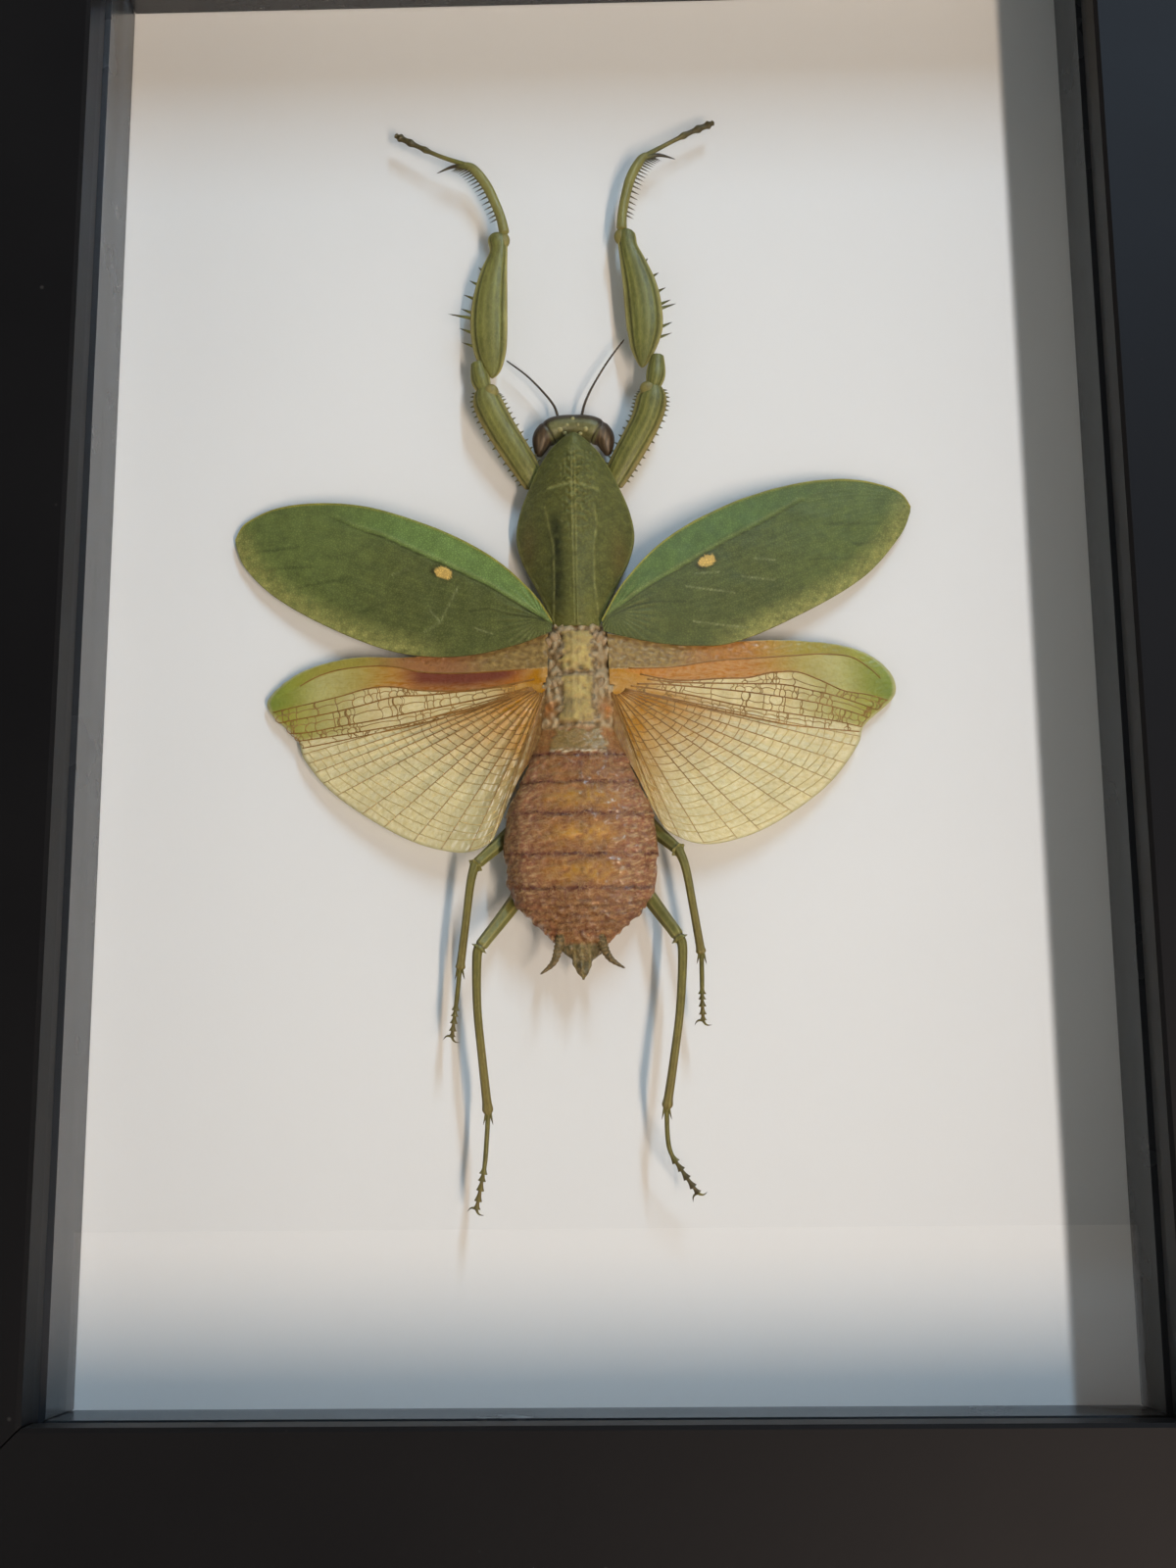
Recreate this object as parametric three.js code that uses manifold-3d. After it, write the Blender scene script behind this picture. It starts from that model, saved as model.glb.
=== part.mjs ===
import * as THREE from 'three';
import { mergeVertices } from 'three/addons/utils/BufferGeometryUtils.js';
import Module from 'manifold-3d';

// A green shield mantis, spread and dried, in a black shadow-box frame.
// Sizes are millimetres. The frame stands on its bottom rail, its glass faces -Y.
// Everything is laid out on the white board: u to the right and v up from the board's
// centre, w out of the board towards the glass.

const wasm = await Module();
wasm.setup();

// Frame and box
const opening = { width: 160, height: 234.5 };
const railFace = 25;
const frontHeight = 28.5;
const backHeight = -7.5;
const rebateWidth = 4.5;
const lipBack = 17.4;
const lipStep = 23;
const edgeEase = 0.5;
const gap = 0.3;
const finest = 0.02;
const glass = { thickness: 2, back: 15.1 };
const spacer = { thickness: 4, front: 14.8 };
const board = { thickness: 2 };
const backing = { thickness: 3 };
const tab = { width: 6, length: 12, thickness: 0.8, overlap: 7 };
const hanger = {
  width: 46,
  height: 9,
  thickness: 1,
  teeth: 9,
  toothDepth: 1.6,
  screwRadius: 2.4,
  screwHead: 0.9,
};

// Where the whole layout sits in the standing frame, whose hanger reaches furthest back
const rearmost = backHeight - 2 * gap - hanger.thickness - hanger.screwHead;
const depthMiddle = (frontHeight + rearmost) / 2;
const centreHeight = opening.height / 2 + railFace;

// The body's midline leans a little over its length
const midline = (v) => -3.1 - 0.012 * v;

const material = (color, roughness, metalness = 0) =>
  new THREE.MeshStandardMaterial({ color, roughness, metalness });

const finish = {
  rail: material(0x1c1c1d, 0.42),
  spacer: material(0x2b2c2e, 0.3),
  board: material(0xeceae6, 0.85),
  glass: new THREE.MeshStandardMaterial({
    color: 0xf4faf7,
    roughness: 0.03,
    metalness: 0,
    transparent: true,
    opacity: 0.15,
  }),
  backing: material(0x6e4f36, 0.8),
  steel: material(0x9b9d9f, 0.35, 1),
  head: material(0x5f5a2f, 0.4),
  shield: material(0x62702f, 0.45),
  body: material(0xa2663f, 0.4),
  forewing: material(0x45662c, 0.45),
  hindwing: material(0xc3ac6a, 0.35),
  leg: material(0x76803a, 0.5),
};

// Geometry from rows of points and a list of triangles, with every face turned outwards
function closedGeometry(points, triangles) {
  const geometry = new THREE.BufferGeometry();
  geometry.setAttribute('position', new THREE.Float32BufferAttribute(points.flat(), 3));
  const corner = (i) => new THREE.Vector3(...points[i]);
  let volume = 0;
  for (const [a, b, c] of triangles) {
    volume += corner(a).dot(corner(b).cross(corner(c)));
  }
  const outward = volume > 0 ? triangles : triangles.map(([a, b, c]) => [a, c, b]);
  geometry.setIndex(outward.flat());
  return geometry;
}

// A skin over rings that all have the same number of points, closed at both ends
function loft(rings) {
  const sides = rings[0].length;
  const points = rings.flat();
  const triangles = [];
  for (let i = 0; i + 1 < rings.length; i += 1) {
    for (let j = 0; j < sides; j += 1) {
      const next = (j + 1) % sides;
      const a = i * sides + j;
      const b = i * sides + next;
      triangles.push([a, b, a + sides], [b, b + sides, a + sides]);
    }
  }
  for (const [start, turned] of [[0, true], [(rings.length - 1) * sides, false]]) {
    const ring = points.slice(start, start + sides);
    const middle = [0, 1, 2].map((axis) => ring.reduce((sum, p) => sum + p[axis], 0) / sides);
    points.push(middle);
    for (let j = 0; j < sides; j += 1) {
      const pair = [start + j, start + ((j + 1) % sides)];
      triangles.push(turned ? [...pair.reverse(), points.length - 1] : [...pair, points.length - 1]);
    }
  }
  return closedGeometry(points, triangles);
}

// A tube of oval section along a path of [u, v, w, half width, half thickness]
function limb(path, sides = 7) {
  const rings = path.map(([u, v, w, halfWidth, halfThickness], i) => {
    const before = path[Math.max(i - 1, 0)];
    const after = path[Math.min(i + 1, path.length - 1)];
    const along = new THREE.Vector3(after[0] - before[0], after[1] - before[1], after[2] - before[2]);
    along.normalize();
    const across = new THREE.Vector3().crossVectors(along, new THREE.Vector3(0, 0, 1)).normalize();
    const up = new THREE.Vector3().crossVectors(across, along);
    return Array.from({ length: sides }, (_, j) => {
      const angle = (2 * Math.PI * j) / sides;
      return new THREE.Vector3(u, v, w)
        .addScaledVector(across, halfWidth * Math.cos(angle))
        .addScaledVector(up, halfThickness * Math.sin(angle))
        .toArray();
    });
  });
  return loft(rings);
}

// A thorn from its root to its point, four-sided
const thorn = (root, point, radius) =>
  limb([[...root, radius, radius], [...point, radius * 0.15, radius * 0.15]], 4);

function toSolid(geometry) {
  const bare = geometry.clone();
  bare.deleteAttribute('normal');
  bare.deleteAttribute('uv');
  const merged = mergeVertices(bare, 1e-4);
  return new wasm.Manifold(new wasm.Mesh({
    numProp: 3,
    vertProperties: new Float32Array(merged.attributes.position.array),
    triVerts: new Uint32Array(merged.index.array),
  }));
}

function fromSolid(solid) {
  const mesh = solid.getMesh();
  const geometry = new THREE.BufferGeometry();
  geometry.setAttribute('position', new THREE.BufferAttribute(new Float32Array(mesh.vertProperties), 3));
  geometry.setIndex(new THREE.BufferAttribute(new Uint32Array(mesh.triVerts), 1));
  return geometry;
}

// One solid from several geometries that run into each other
const fused = (geometries) =>
  geometries.map(toSolid).reduce((whole, next) => whole.add(next)).simplify(finest);

function piece(name, geometry, look) {
  const mesh = new THREE.Mesh(geometry, look);
  mesh.name = name;
  return mesh;
}

// A prism whose ends are cut at 45 degrees. The section is [outward from the opening, w].
function mitredStrip(section, halfLength) {
  const half = gap / 2;
  const ends = [-1, 1].map((side) =>
    section.map(([s, w]) => [side * (halfLength + s - half), s, w]));
  const count = section.length;
  const points = ends.flat();
  const triangles = [];
  for (let j = 0; j < count; j += 1) {
    const next = (j + 1) % count;
    triangles.push([j, next, count + j], [next, count + next, count + j]);
  }
  const flat = section.map(([s, w]) => new THREE.Vector2(s, w));
  const clockwise = THREE.ShapeUtils.isClockWise(flat);
  for (const [a, b, c] of THREE.ShapeUtils.triangulateShape(flat, [])) {
    const face = clockwise ? [a, b, c] : [a, c, b];
    triangles.push(face, face.map((k) => k + count).reverse());
  }
  return closedGeometry(points, triangles);
}

// Four strips round the opening, each turned so that its section faces outwards
function aroundOpening(name, section, look) {
  const sides = [
    ['top', 0, [0, opening.height / 2], opening.width / 2],
    ['left', Math.PI / 2, [-opening.width / 2, 0], opening.height / 2],
    ['bottom', Math.PI, [0, -opening.height / 2], opening.width / 2],
    ['right', -Math.PI / 2, [opening.width / 2, 0], opening.height / 2],
  ];
  return sides.map(([side, turn, [u, v], halfLength]) => {
    const strip = piece(`${name}_${side}`, mitredStrip(section, halfLength), look);
    strip.position.set(u, v, 0);
    strip.rotation.z = turn;
    return strip;
  });
}

function frameRails() {
  const lipReach = 0.5;
  const section = [
    [-lipReach, lipStep + edgeEase],
    [-lipReach * 0.6, frontHeight - edgeEase],
    [edgeEase * 0.6, frontHeight],
    [railFace - edgeEase, frontHeight],
    [railFace, frontHeight - edgeEase],
    [railFace, backHeight + edgeEase],
    [railFace - edgeEase, backHeight],
    [rebateWidth, backHeight],
    [rebateWidth, lipBack],
    [lipReach, lipBack],
    [lipReach, lipStep],
  ];
  return aroundOpening('rail', section, finish.rail);
}

function spacerStrips() {
  const section = [[0, gap], [spacer.thickness, gap], [spacer.thickness, spacer.front], [0, spacer.front]];
  return aroundOpening('spacer', section, finish.spacer);
}

// Glass, board and backing fill the rebate with a little play
function sheets() {
  const width = opening.width + 2 * (rebateWidth - gap);
  const height = opening.height + 2 * (rebateWidth - gap);
  const stack = [
    ['glass_pane', glass.back, glass.thickness, finish.glass],
    ['mounting_board', -board.thickness, board.thickness, finish.board],
    ['backing_panel', -board.thickness - gap - backing.thickness, backing.thickness, finish.backing],
  ];
  return stack.map(([name, low, thickness, look]) => {
    const sheet = piece(name, new THREE.BoxGeometry(width, height, thickness), look);
    sheet.position.z = low + thickness / 2;
    return sheet;
  });
}

// Flat steel points driven into the rebate wall keep the backing in
function backingTabs() {
  const level = -board.thickness - 2 * gap - backing.thickness - tab.thickness / 2;
  const rebate = { u: opening.width / 2 + rebateWidth - gap, v: opening.height / 2 + rebateWidth - gap };
  const places = [
    ['left_upper', -rebate.u, 60, 0],
    ['left_lower', -rebate.u, -60, 0],
    ['right_upper', rebate.u, 60, Math.PI],
    ['right_lower', rebate.u, -60, Math.PI],
    ['top', 0, rebate.v, -Math.PI / 2],
    ['bottom', 0, -rebate.v, Math.PI / 2],
  ];
  const outline = new THREE.Shape([
    new THREE.Vector2(0, -tab.width / 2),
    new THREE.Vector2(tab.overlap, -tab.width / 2),
    new THREE.Vector2(tab.length, 0),
    new THREE.Vector2(tab.overlap, tab.width / 2),
    new THREE.Vector2(0, tab.width / 2),
  ]);
  return places.map(([where, u, v, turn]) => {
    const geometry = new THREE.ExtrudeGeometry(outline, { depth: tab.thickness, bevelEnabled: false });
    geometry.translate(0, 0, -tab.thickness / 2);
    const point = piece(`backing_tab_${where}`, geometry, finish.steel);
    point.position.set(u, v, level);
    point.rotation.z = turn;
    return point;
  });
}

// A saw-toothed hanger plate on the back of the top rail, with the two screws that hold it
function wallHanger() {
  const outline = new THREE.Shape();
  const half = hanger.width / 2;
  const toothRun = hanger.width * 0.6;
  outline.moveTo(-half, hanger.height / 2);
  outline.lineTo(-half, -hanger.height / 2);
  outline.lineTo(-toothRun / 2, -hanger.height / 2);
  for (let i = 0; i < hanger.teeth; i += 1) {
    const start = -toothRun / 2 + (toothRun * i) / hanger.teeth;
    outline.lineTo(start + toothRun / hanger.teeth / 2, -hanger.height / 2 + hanger.toothDepth);
    outline.lineTo(start + toothRun / hanger.teeth, -hanger.height / 2);
  }
  outline.lineTo(half, -hanger.height / 2);
  outline.lineTo(half, hanger.height / 2);
  outline.closePath();
  const level = backHeight - gap - hanger.thickness;
  const middle = opening.height / 2 + rebateWidth + (railFace - rebateWidth) / 2;
  const plate = piece('hanger_plate', new THREE.ExtrudeGeometry(outline, {
    depth: hanger.thickness,
    bevelEnabled: false,
  }), finish.steel);
  plate.position.set(0, middle, level);
  const screws = [-1, 1].map((side) => {
    const profile = [
      new THREE.Vector2(0, 0),
      new THREE.Vector2(hanger.screwRadius, 0),
      new THREE.Vector2(hanger.screwRadius * 0.7, -hanger.screwHead * 0.8),
      new THREE.Vector2(0, -hanger.screwHead),
    ];
    const head = piece(
      `hanger_screw_${side < 0 ? 'left' : 'right'}`,
      new THREE.LatheGeometry(profile.reverse(), 12),
      finish.steel,
    );
    head.rotation.x = Math.PI / 2;
    head.position.set(side * half * 0.8, middle, level - gap);
    return head;
  });
  return [plate, ...screws];
}

// Oval ring across the body at v: half width, then how far up and down it reaches from w
function bodyRing(v, halfWidth, w, up, down, sides = 18) {
  return Array.from({ length: sides }, (_, j) => {
    const angle = (2 * Math.PI * j) / sides;
    const rise = Math.sin(angle);
    return [midline(v) + halfWidth * Math.cos(angle), v, w + rise * (rise > 0 ? up : down)];
  });
}

// Middle and hind thorax with the abdomen behind them, its rings stepped like overlapping plates
function thoraxAndAbdomen() {
  const stations = [
    [2.4, 2.6, 5.0, 2.2, 3.2],
    [1.5, 5.0, 5.2, 3.6, 4.4],
    [-1.5, 5.8, 5.2, 4.1, 4.7],
    [-4.6, 5.4, 5.2, 3.8, 4.7],
    [-6.2, 6.3, 5.3, 4.1, 4.7],
    [-10.5, 6.4, 5.5, 3.9, 4.8],
    [-14.2, 6.4, 5.8, 3.4, 4.2],
    [-15.6, 6.6, 6.1, 3.3, 3.4],
    [-19.6, 8.1, 6.6, 3.8, 3.5],
    [-20.1, 7.9, 6.6, 3.5, 3.5],
    [-22.9, 9.4, 6.9, 4.0, 3.7],
    [-23.4, 9.3, 6.9, 3.7, 3.7],
    [-26.0, 10.9, 7.1, 4.4, 3.9],
    [-28.2, 11.6, 7.2, 4.4, 4.0],
    [-28.7, 11.4, 7.2, 4.1, 4.0],
    [-31.6, 12.0, 7.2, 4.6, 4.0],
    [-34.5, 12.1, 7.2, 4.6, 4.0],
    [-35.0, 11.8, 7.2, 4.3, 4.0],
    [-38.0, 11.6, 7.2, 4.5, 4.0],
    [-40.7, 10.9, 7.3, 4.2, 3.9],
    [-41.2, 10.5, 7.3, 3.9, 3.9],
    [-43.4, 9.1, 7.4, 3.4, 3.6],
    [-45.4, 7.4, 7.5, 2.7, 3.2],
    [-47.4, 5.3, 7.6, 1.6, 2.8],
    [-48.8, 4.0, 7.4, 0.9, 2.3],
    [-50.4, 2.2, 7.3, 0.7, 1.6],
    [-52.4, 0.9, 7.2, 0.5, 0.8],
    [-53.8, 0.25, 7.2, 0.3, 0.3],
  ];
  const trunk = loft(stations.map(([v, halfWidth, w, up, down]) => bodyRing(v, halfWidth, w, up, down)));
  const tailFeelers = [
    [[-5.7, -46.6, 8.2, 0.8, 0.7], [-6.1, -48.8, 8.6, 0.7, 0.6], [-6.9, -51.3, 8.9, 0.5, 0.45],
      [-8.9, -53.1, 9.0, 0.12, 0.12]],
    [[0.3, -46.8, 8.2, 0.8, 0.7], [0.7, -48.7, 8.6, 0.7, 0.6], [1.8, -50.8, 8.9, 0.5, 0.45],
      [4.0, -52.3, 9.0, 0.12, 0.12]],
  ];
  // Knobbly plates beside the thorax that the wings hinge on
  const hingePlates = [-1, 1].flatMap((side) => [[0.2, 8.0], [-7.4, 8.0]].map(([v, w]) =>
    limb([
      [midline(v) + side * 2.2, v + 0.4, w, 1.3, 0.9],
      [midline(v) + side * 3.4, v + 0.1, w, 1.5, 0.9],
      [midline(v) + side * 4.6, v - 0.3, w - 0.6, 1.0, 0.6],
    ], 6)));
  return fused([trunk, ...tailFeelers.map((path) => limb(path, 6)), ...hingePlates]);
}

// The broad shield over the front thorax: a roof with a middle ridge, leaf-thin at its edges.
// Each station is [v, half width, ridge height, edge height].
const shieldStations = [
  [34.8, 0.7, 8.2, 7.7],
  [33.9, 2.1, 8.7, 7.2],
  [31.9, 4.1, 9.2, 6.6],
  [29.2, 5.9, 9.7, 6.0],
  [26.4, 7.3, 9.9, 5.2],
  [22.6, 8.9, 9.8, 4.1],
  [18.5, 9.6, 9.6, 3.6],
  [14.3, 8.7, 9.5, 4.3],
  [10.3, 6.9, 9.4, 5.4],
  [6.6, 5.2, 9.3, 6.5],
  [4.0, 4.2, 9.2, 7.0],
  [3.0, 3.6, 9.0, 7.1],
];

// The shield with the front thorax under it
function shield() {
  const half = 8;
  const leaf = 0.5;
  const coreShare = 0.42;
  const rings = shieldStations.map(([v, halfWidth, ridge, edge], i) => {
    const last = shieldStations.length - 1;
    const core = Math.sin((Math.PI * Math.min(Math.max(i, 1), last - 1)) / last) * 4.2;
    const roof = (s) => edge + (ridge - edge) * (1 - Math.abs(s) ** 1.7);
    const under = (s) => roof(s) - leaf - core * Math.sqrt(Math.max(0, 1 - (s / coreShare) ** 2));
    const steps = Array.from({ length: 2 * half + 1 }, (_, j) => -1 + j / half);
    const top = steps.map((s) => [midline(v) + s * halfWidth, v, roof(s)]);
    const bottom = steps.reverse().map((s) => [midline(v) + s * halfWidth, v, under(s)]);
    return [...top, ...bottom];
  });
  return loft(rings);
}

function ellipsoid(centre, radii, columns = 12, rows = 8) {
  const geometry = new THREE.SphereGeometry(1, columns, rows);
  geometry.scale(...radii);
  geometry.translate(...centre);
  return geometry;
}

// A short wide head with an eye at each side and two hair-fine feelers
function head() {
  const v = 36.2;
  const middle = midline(v);
  const eyes = [-1, 1].map((side) =>
    ellipsoid([middle + side * 4.1, v - 0.4, 3.8], [2.6, 3.8, 2.4]));
  const crown = ellipsoid([middle, v + 0.7, 3.9], [5.2, 2.8, 2.5]);
  const mouth = ellipsoid([middle, v + 0.4, 2.6], [2.4, 2.2, 2.0], 8, 6);
  const feelers = [
    [[-5.9, 38.4], [-6.6, 41.0], [-8.3, 43.6], [-11.2, 46.9], [-14.6, 49.8]],
    [[-2.3, 38.4], [-1.6, 41.6], [-0.2, 44.9], [2.3, 49.3], [5.0, 53.2]],
  ];
  const hairs = feelers.map((route) =>
    limb(route.map(([u, w], i) => [u, w, 4.2 - 0.35 * i, 0.22 - 0.025 * i, 0.22 - 0.025 * i]), 4));
  return fused([...eyes, crown, mouth, ...hairs]);
}

// A thin sheet over a grid of points, given by its middle surface
function sheetOver(grid, thickness) {
  const rows = grid.length;
  const columns = grid[0].length;
  const lift = (amount) => grid.map((row) => row.map(([u, v, w]) => [u, v, w + amount]));
  const points = [...lift(thickness / 2).flat(), ...lift(-thickness / 2).flat()];
  const under = rows * columns;
  const at = (i, j) => i * columns + j;
  const triangles = [];
  for (let i = 0; i + 1 < rows; i += 1) {
    for (let j = 0; j + 1 < columns; j += 1) {
      const [a, b, c, d] = [at(i, j), at(i, j + 1), at(i + 1, j + 1), at(i + 1, j)];
      triangles.push([a, b, c], [a, c, d]);
      triangles.push([a + under, c + under, b + under], [a + under, d + under, c + under]);
    }
  }
  const rim = [];
  for (let j = 0; j + 1 < columns; j += 1) rim.push([at(0, j + 1), at(0, j)]);
  for (let i = 0; i + 1 < rows; i += 1) rim.push([at(i, 0), at(i + 1, 0)]);
  for (let j = 0; j + 1 < columns; j += 1) rim.push([at(rows - 1, j), at(rows - 1, j + 1)]);
  for (let i = rows - 1; i > 0; i -= 1) rim.push([at(i, columns - 1), at(i - 1, columns - 1)]);
  for (const [a, b] of rim) {
    triangles.push([a, b, b + under], [a, b + under, a + under]);
  }
  return closedGeometry(points, triangles);
}

const curveThrough = (points) => new THREE.SplineCurve(points.map(([u, v]) => new THREE.Vector2(u, v)));

// How high a wing lies at a distance from the midline: it droops from its hinge to its tip
const droop = (reach, rootHeight, tipHeight, span) => {
  const t = Math.min(reach / span, 1);
  return rootHeight + (tipHeight - rootHeight) * t ** 0.8;
};

const foreWings = {
  left: {
    front: [[-7.9, 3.5], [-10.2, 8.1], [-17.0, 14.6], [-26.9, 20.3], [-39.2, 24.2], [-52.4, 24.9], [-59.1, 20.6]],
    rear: [[-8.3, 1.7], [-13.1, -0.4], [-22.0, -1.9], [-32.3, -0.5], [-43.5, 3.5], [-53.1, 10.2], [-59.1, 19.2]],
  },
  right: {
    front: [[1.9, 3.5], [4.7, 9.8], [11.5, 17.1], [21.4, 23.1], [32.2, 26.4], [43.1, 27.5], [51.4, 23.9]],
    rear: [[2.4, 1.6], [7.8, 0.1], [14.6, -0.6], [22.5, 0.0], [34.0, 5.0], [44.8, 12.4], [51.4, 22.8]],
  },
};

function foreWing({ front, rear }) {
  const along = 18;
  const across = 6;
  const frontCurve = curveThrough(front);
  const rearCurve = curveThrough(rear);
  const grid = [];
  for (let i = 0; i <= along; i += 1) {
    const a = frontCurve.getPoint(i / along);
    const b = rearCurve.getPoint(i / along);
    const row = [];
    for (let j = 0; j <= across; j += 1) {
      const k = j / across;
      const u = a.x + (b.x - a.x) * k;
      const v = a.y + (b.y - a.y) * k;
      const arch = 0.7 * Math.sin(Math.PI * k) * Math.sin((Math.PI * i) / along);
      row.push([u, v, droop(Math.abs(u - midline(v)) - 4.5, 8.6, 1.2, 52) + arch]);
    }
    grid.push(row);
  }
  return sheetOver(grid, 0.4);
}

// Each hind wing is a fan from its root. The outline runs from the body, round the tip, to the body.
const hindWings = {
  left: {
    root: [-9.6, -6.9],
    outline: [[-9.5, -1.6], [-20.0, -3.1], [-30.0, -2.2], [-39.5, -1.1], [-47.6, -3.0], [-52.8, -6.9],
      [-52.6, -9.8], [-48.2, -14.2], [-46.9, -17.6], [-42.6, -22.8], [-35.7, -27.9], [-28.4, -31.8],
      [-21.4, -33.5], [-17.2, -32.3], [-15.6, -29.8], [-12.6, -19.8], [-10.3, -9.8]],
  },
  right: {
    root: [3.9, -7.6],
    outline: [[3.9, -2.2], [13.0, -2.8], [20.0, -1.3], [30.2, 0.3], [40.2, -0.2], [46.2, -3.4],
      [47.6, -8.0], [42.6, -13.0], [41.3, -16.4], [37.0, -22.2], [31.1, -27.0], [24.4, -30.8],
      [17.3, -32.6], [12.3, -31.4], [9.6, -28.9], [6.2, -18.8], [4.3, -10.2]],
  },
};

function hindWing({ root, outline }) {
  const rays = 34;
  const steps = 6;
  const rim = curveThrough(outline);
  const grid = [];
  for (let i = 0; i <= rays; i += 1) {
    const end = rim.getPoint(i / rays);
    const row = [];
    for (let j = 0; j <= steps; j += 1) {
      const k = 0.04 + (0.96 * j) / steps;
      const u = root[0] + (end.x - root[0]) * k;
      const v = root[1] + (end.y - root[1]) * k;
      const fold = (i % 2 ? 0.22 : -0.22) * Math.sin(Math.PI * k) * (i > 4 ? 1 : 0);
      row.push([u, v, droop(Math.abs(u - midline(v)) - 5.5, 7.6, 1.5, 45) + fold]);
    }
    grid.push(row);
  }
  return sheetOver(grid, 0.4);
}

// Seizing legs. Each thigh station is [v, u of its middle, half width].
const foreLegs = {
  left: {
    coxa: [[-9.7, 27.6, 3.0, 1.8, 1.1], [-11.7, 31.0, 4.0, 2.3, 1.5], [-15.5, 37.2, 4.8, 2.5, 1.5],
      [-17.6, 41.6, 5.0, 2.4, 1.5], [-17.9, 43.9, 5.0, 1.4, 1.0]],
    trochanter: [[-18.0, 42.9, 5.0, 1.3, 1.1], [-18.4, 45.2, 5.0, 1.9, 1.3], [-18.6, 48.0, 5.0, 1.6, 1.2]],
    thigh: [[71.8, -16.0, 0.7], [70.6, -16.0, 1.6], [68.2, -15.8, 1.5], [65.0, -16.45, 2.15], [61.5, -17.0, 2.7],
      [57.5, -17.35, 3.05], [53.5, -17.35, 3.05], [50.0, -17.1, 2.6], [47.4, -16.8, 1.6], [45.8, -16.8, 0.4]],
    shin: [[-14.8, 71.4, 5.0, 0.9, 0.8], [-15.6, 75.0, 5.0, 0.8, 0.7], [-17.7, 80.2, 4.8, 0.85, 0.7],
      [-20.0, 83.6, 4.6, 0.8, 0.7], [-21.6, 84.6, 4.6, 0.5, 0.5]],
    hook: [[-20.8, 84.0, 4.6, 0.5, 0.45], [-23.4, 84.4, 4.4, 0.32, 0.3], [-26.3, 83.3, 4.2, 0.06, 0.06]],
    foot: [[-21.0, 84.4, 4.6, 0.45, 0.45], [-25.6, 86.3, 4.3, 0.36, 0.36], [-29.5, 88.4, 4.0, 0.4, 0.38],
      [-32.6, 90.2, 3.8, 0.5, 0.42], [-33.6, 90.8, 3.8, 0.25, 0.25]],
    outward: -1,
    thorns: [[-19.2, 65.8], [-20.7, 63.4], [-21.7, 60.9], [-22.1, 58.4], [-24.2, 57.5], [-22.3, 54.9], [-21.9, 52.4]],
  },
  right: {
    coxa: [[2.6, 27.6, 3.0, 1.8, 1.1], [4.9, 31.6, 4.0, 2.3, 1.5], [8.2, 37.6, 4.8, 2.5, 1.5],
      [9.4, 41.6, 5.0, 2.5, 1.5], [9.6, 43.9, 5.0, 1.4, 1.0]],
    trochanter: [[9.5, 42.9, 5.0, 1.3, 1.1], [9.9, 45.6, 5.0, 1.9, 1.3], [9.8, 49.2, 5.0, 1.5, 1.2]],
    thigh: [[72.0, 5.6, 0.7], [70.9, 5.6, 1.5], [68.6, 5.85, 1.65], [65.4, 6.75, 2.25], [61.6, 7.7, 2.85],
      [58.0, 8.2, 3.1], [54.2, 8.4, 3.0], [50.8, 8.15, 2.2], [48.6, 8.0, 1.2], [47.2, 7.9, 0.35]],
    shin: [[4.8, 71.8, 5.0, 0.9, 0.8], [5.0, 75.2, 5.0, 0.8, 0.7], [6.2, 80.8, 4.8, 0.85, 0.7],
      [7.9, 84.4, 4.6, 0.8, 0.7], [9.2, 85.8, 4.6, 0.5, 0.5]],
    hook: [[8.4, 85.0, 4.6, 0.5, 0.45], [11.2, 85.7, 4.4, 0.32, 0.3], [14.0, 85.0, 4.2, 0.06, 0.06]],
    foot: [[8.7, 85.4, 4.6, 0.45, 0.45], [12.9, 87.9, 4.3, 0.36, 0.36], [16.6, 90.0, 4.0, 0.42, 0.4],
      [19.6, 91.4, 3.8, 0.5, 0.42], [20.7, 91.9, 3.8, 0.25, 0.25]],
    outward: 1,
    thorns: [[9.1, 66.8], [10.9, 64.2], [12.0, 61.5], [12.8, 59.3], [13.7, 58.6], [13.0, 55.3], [12.9, 53.4]],
  },
};

function foreLeg({ coxa, trochanter, thigh, shin, hook, foot, outward, thorns }) {
  const thighHeight = 5;
  const blade = thigh.map(([v, u, halfWidth]) => [u, v, thighHeight, halfWidth, 0.35 + 0.3 * halfWidth]);
  const edgeAt = (v) => {
    const i = Math.max(1, thigh.findIndex((row) => row[0] <= v));
    const [v0, u0, half0] = thigh[i - 1];
    const [v1, u1, half1] = thigh[i];
    const t = (v0 - v) / (v0 - v1);
    return u0 + (u1 - u0) * t + outward * (half0 + (half1 - half0) * t);
  };
  const thighThorns = thorns.map(([u, v]) => {
    const rootV = v - 1.1;
    return thorn([edgeAt(rootV) - outward * 0.5, rootV, thighHeight], [u, v, thighHeight - 0.4], 0.3);
  });
  const route = new THREE.CatmullRomCurve3(shin.map(([u, v, w]) => new THREE.Vector3(u, v, w)));
  const combCount = 7;
  const comb = Array.from({ length: combCount }, (_, i) => {
    const root = route.getPoint(0.3 + (0.62 * i) / (combCount - 1));
    const length = 1.25 + 0.5 * (i / combCount);
    return thorn(
      [root.x + outward * 0.3, root.y, root.z],
      [root.x + outward * length, root.y - 0.2, root.z - 0.3],
      0.22,
    );
  });
  return fused([limb(coxa, 7), limb(trochanter, 6), limb(blade, 7), limb(shin, 6), limb(hook, 5), limb(foot, 5),
    ...thighThorns, ...comb]);
}

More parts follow.
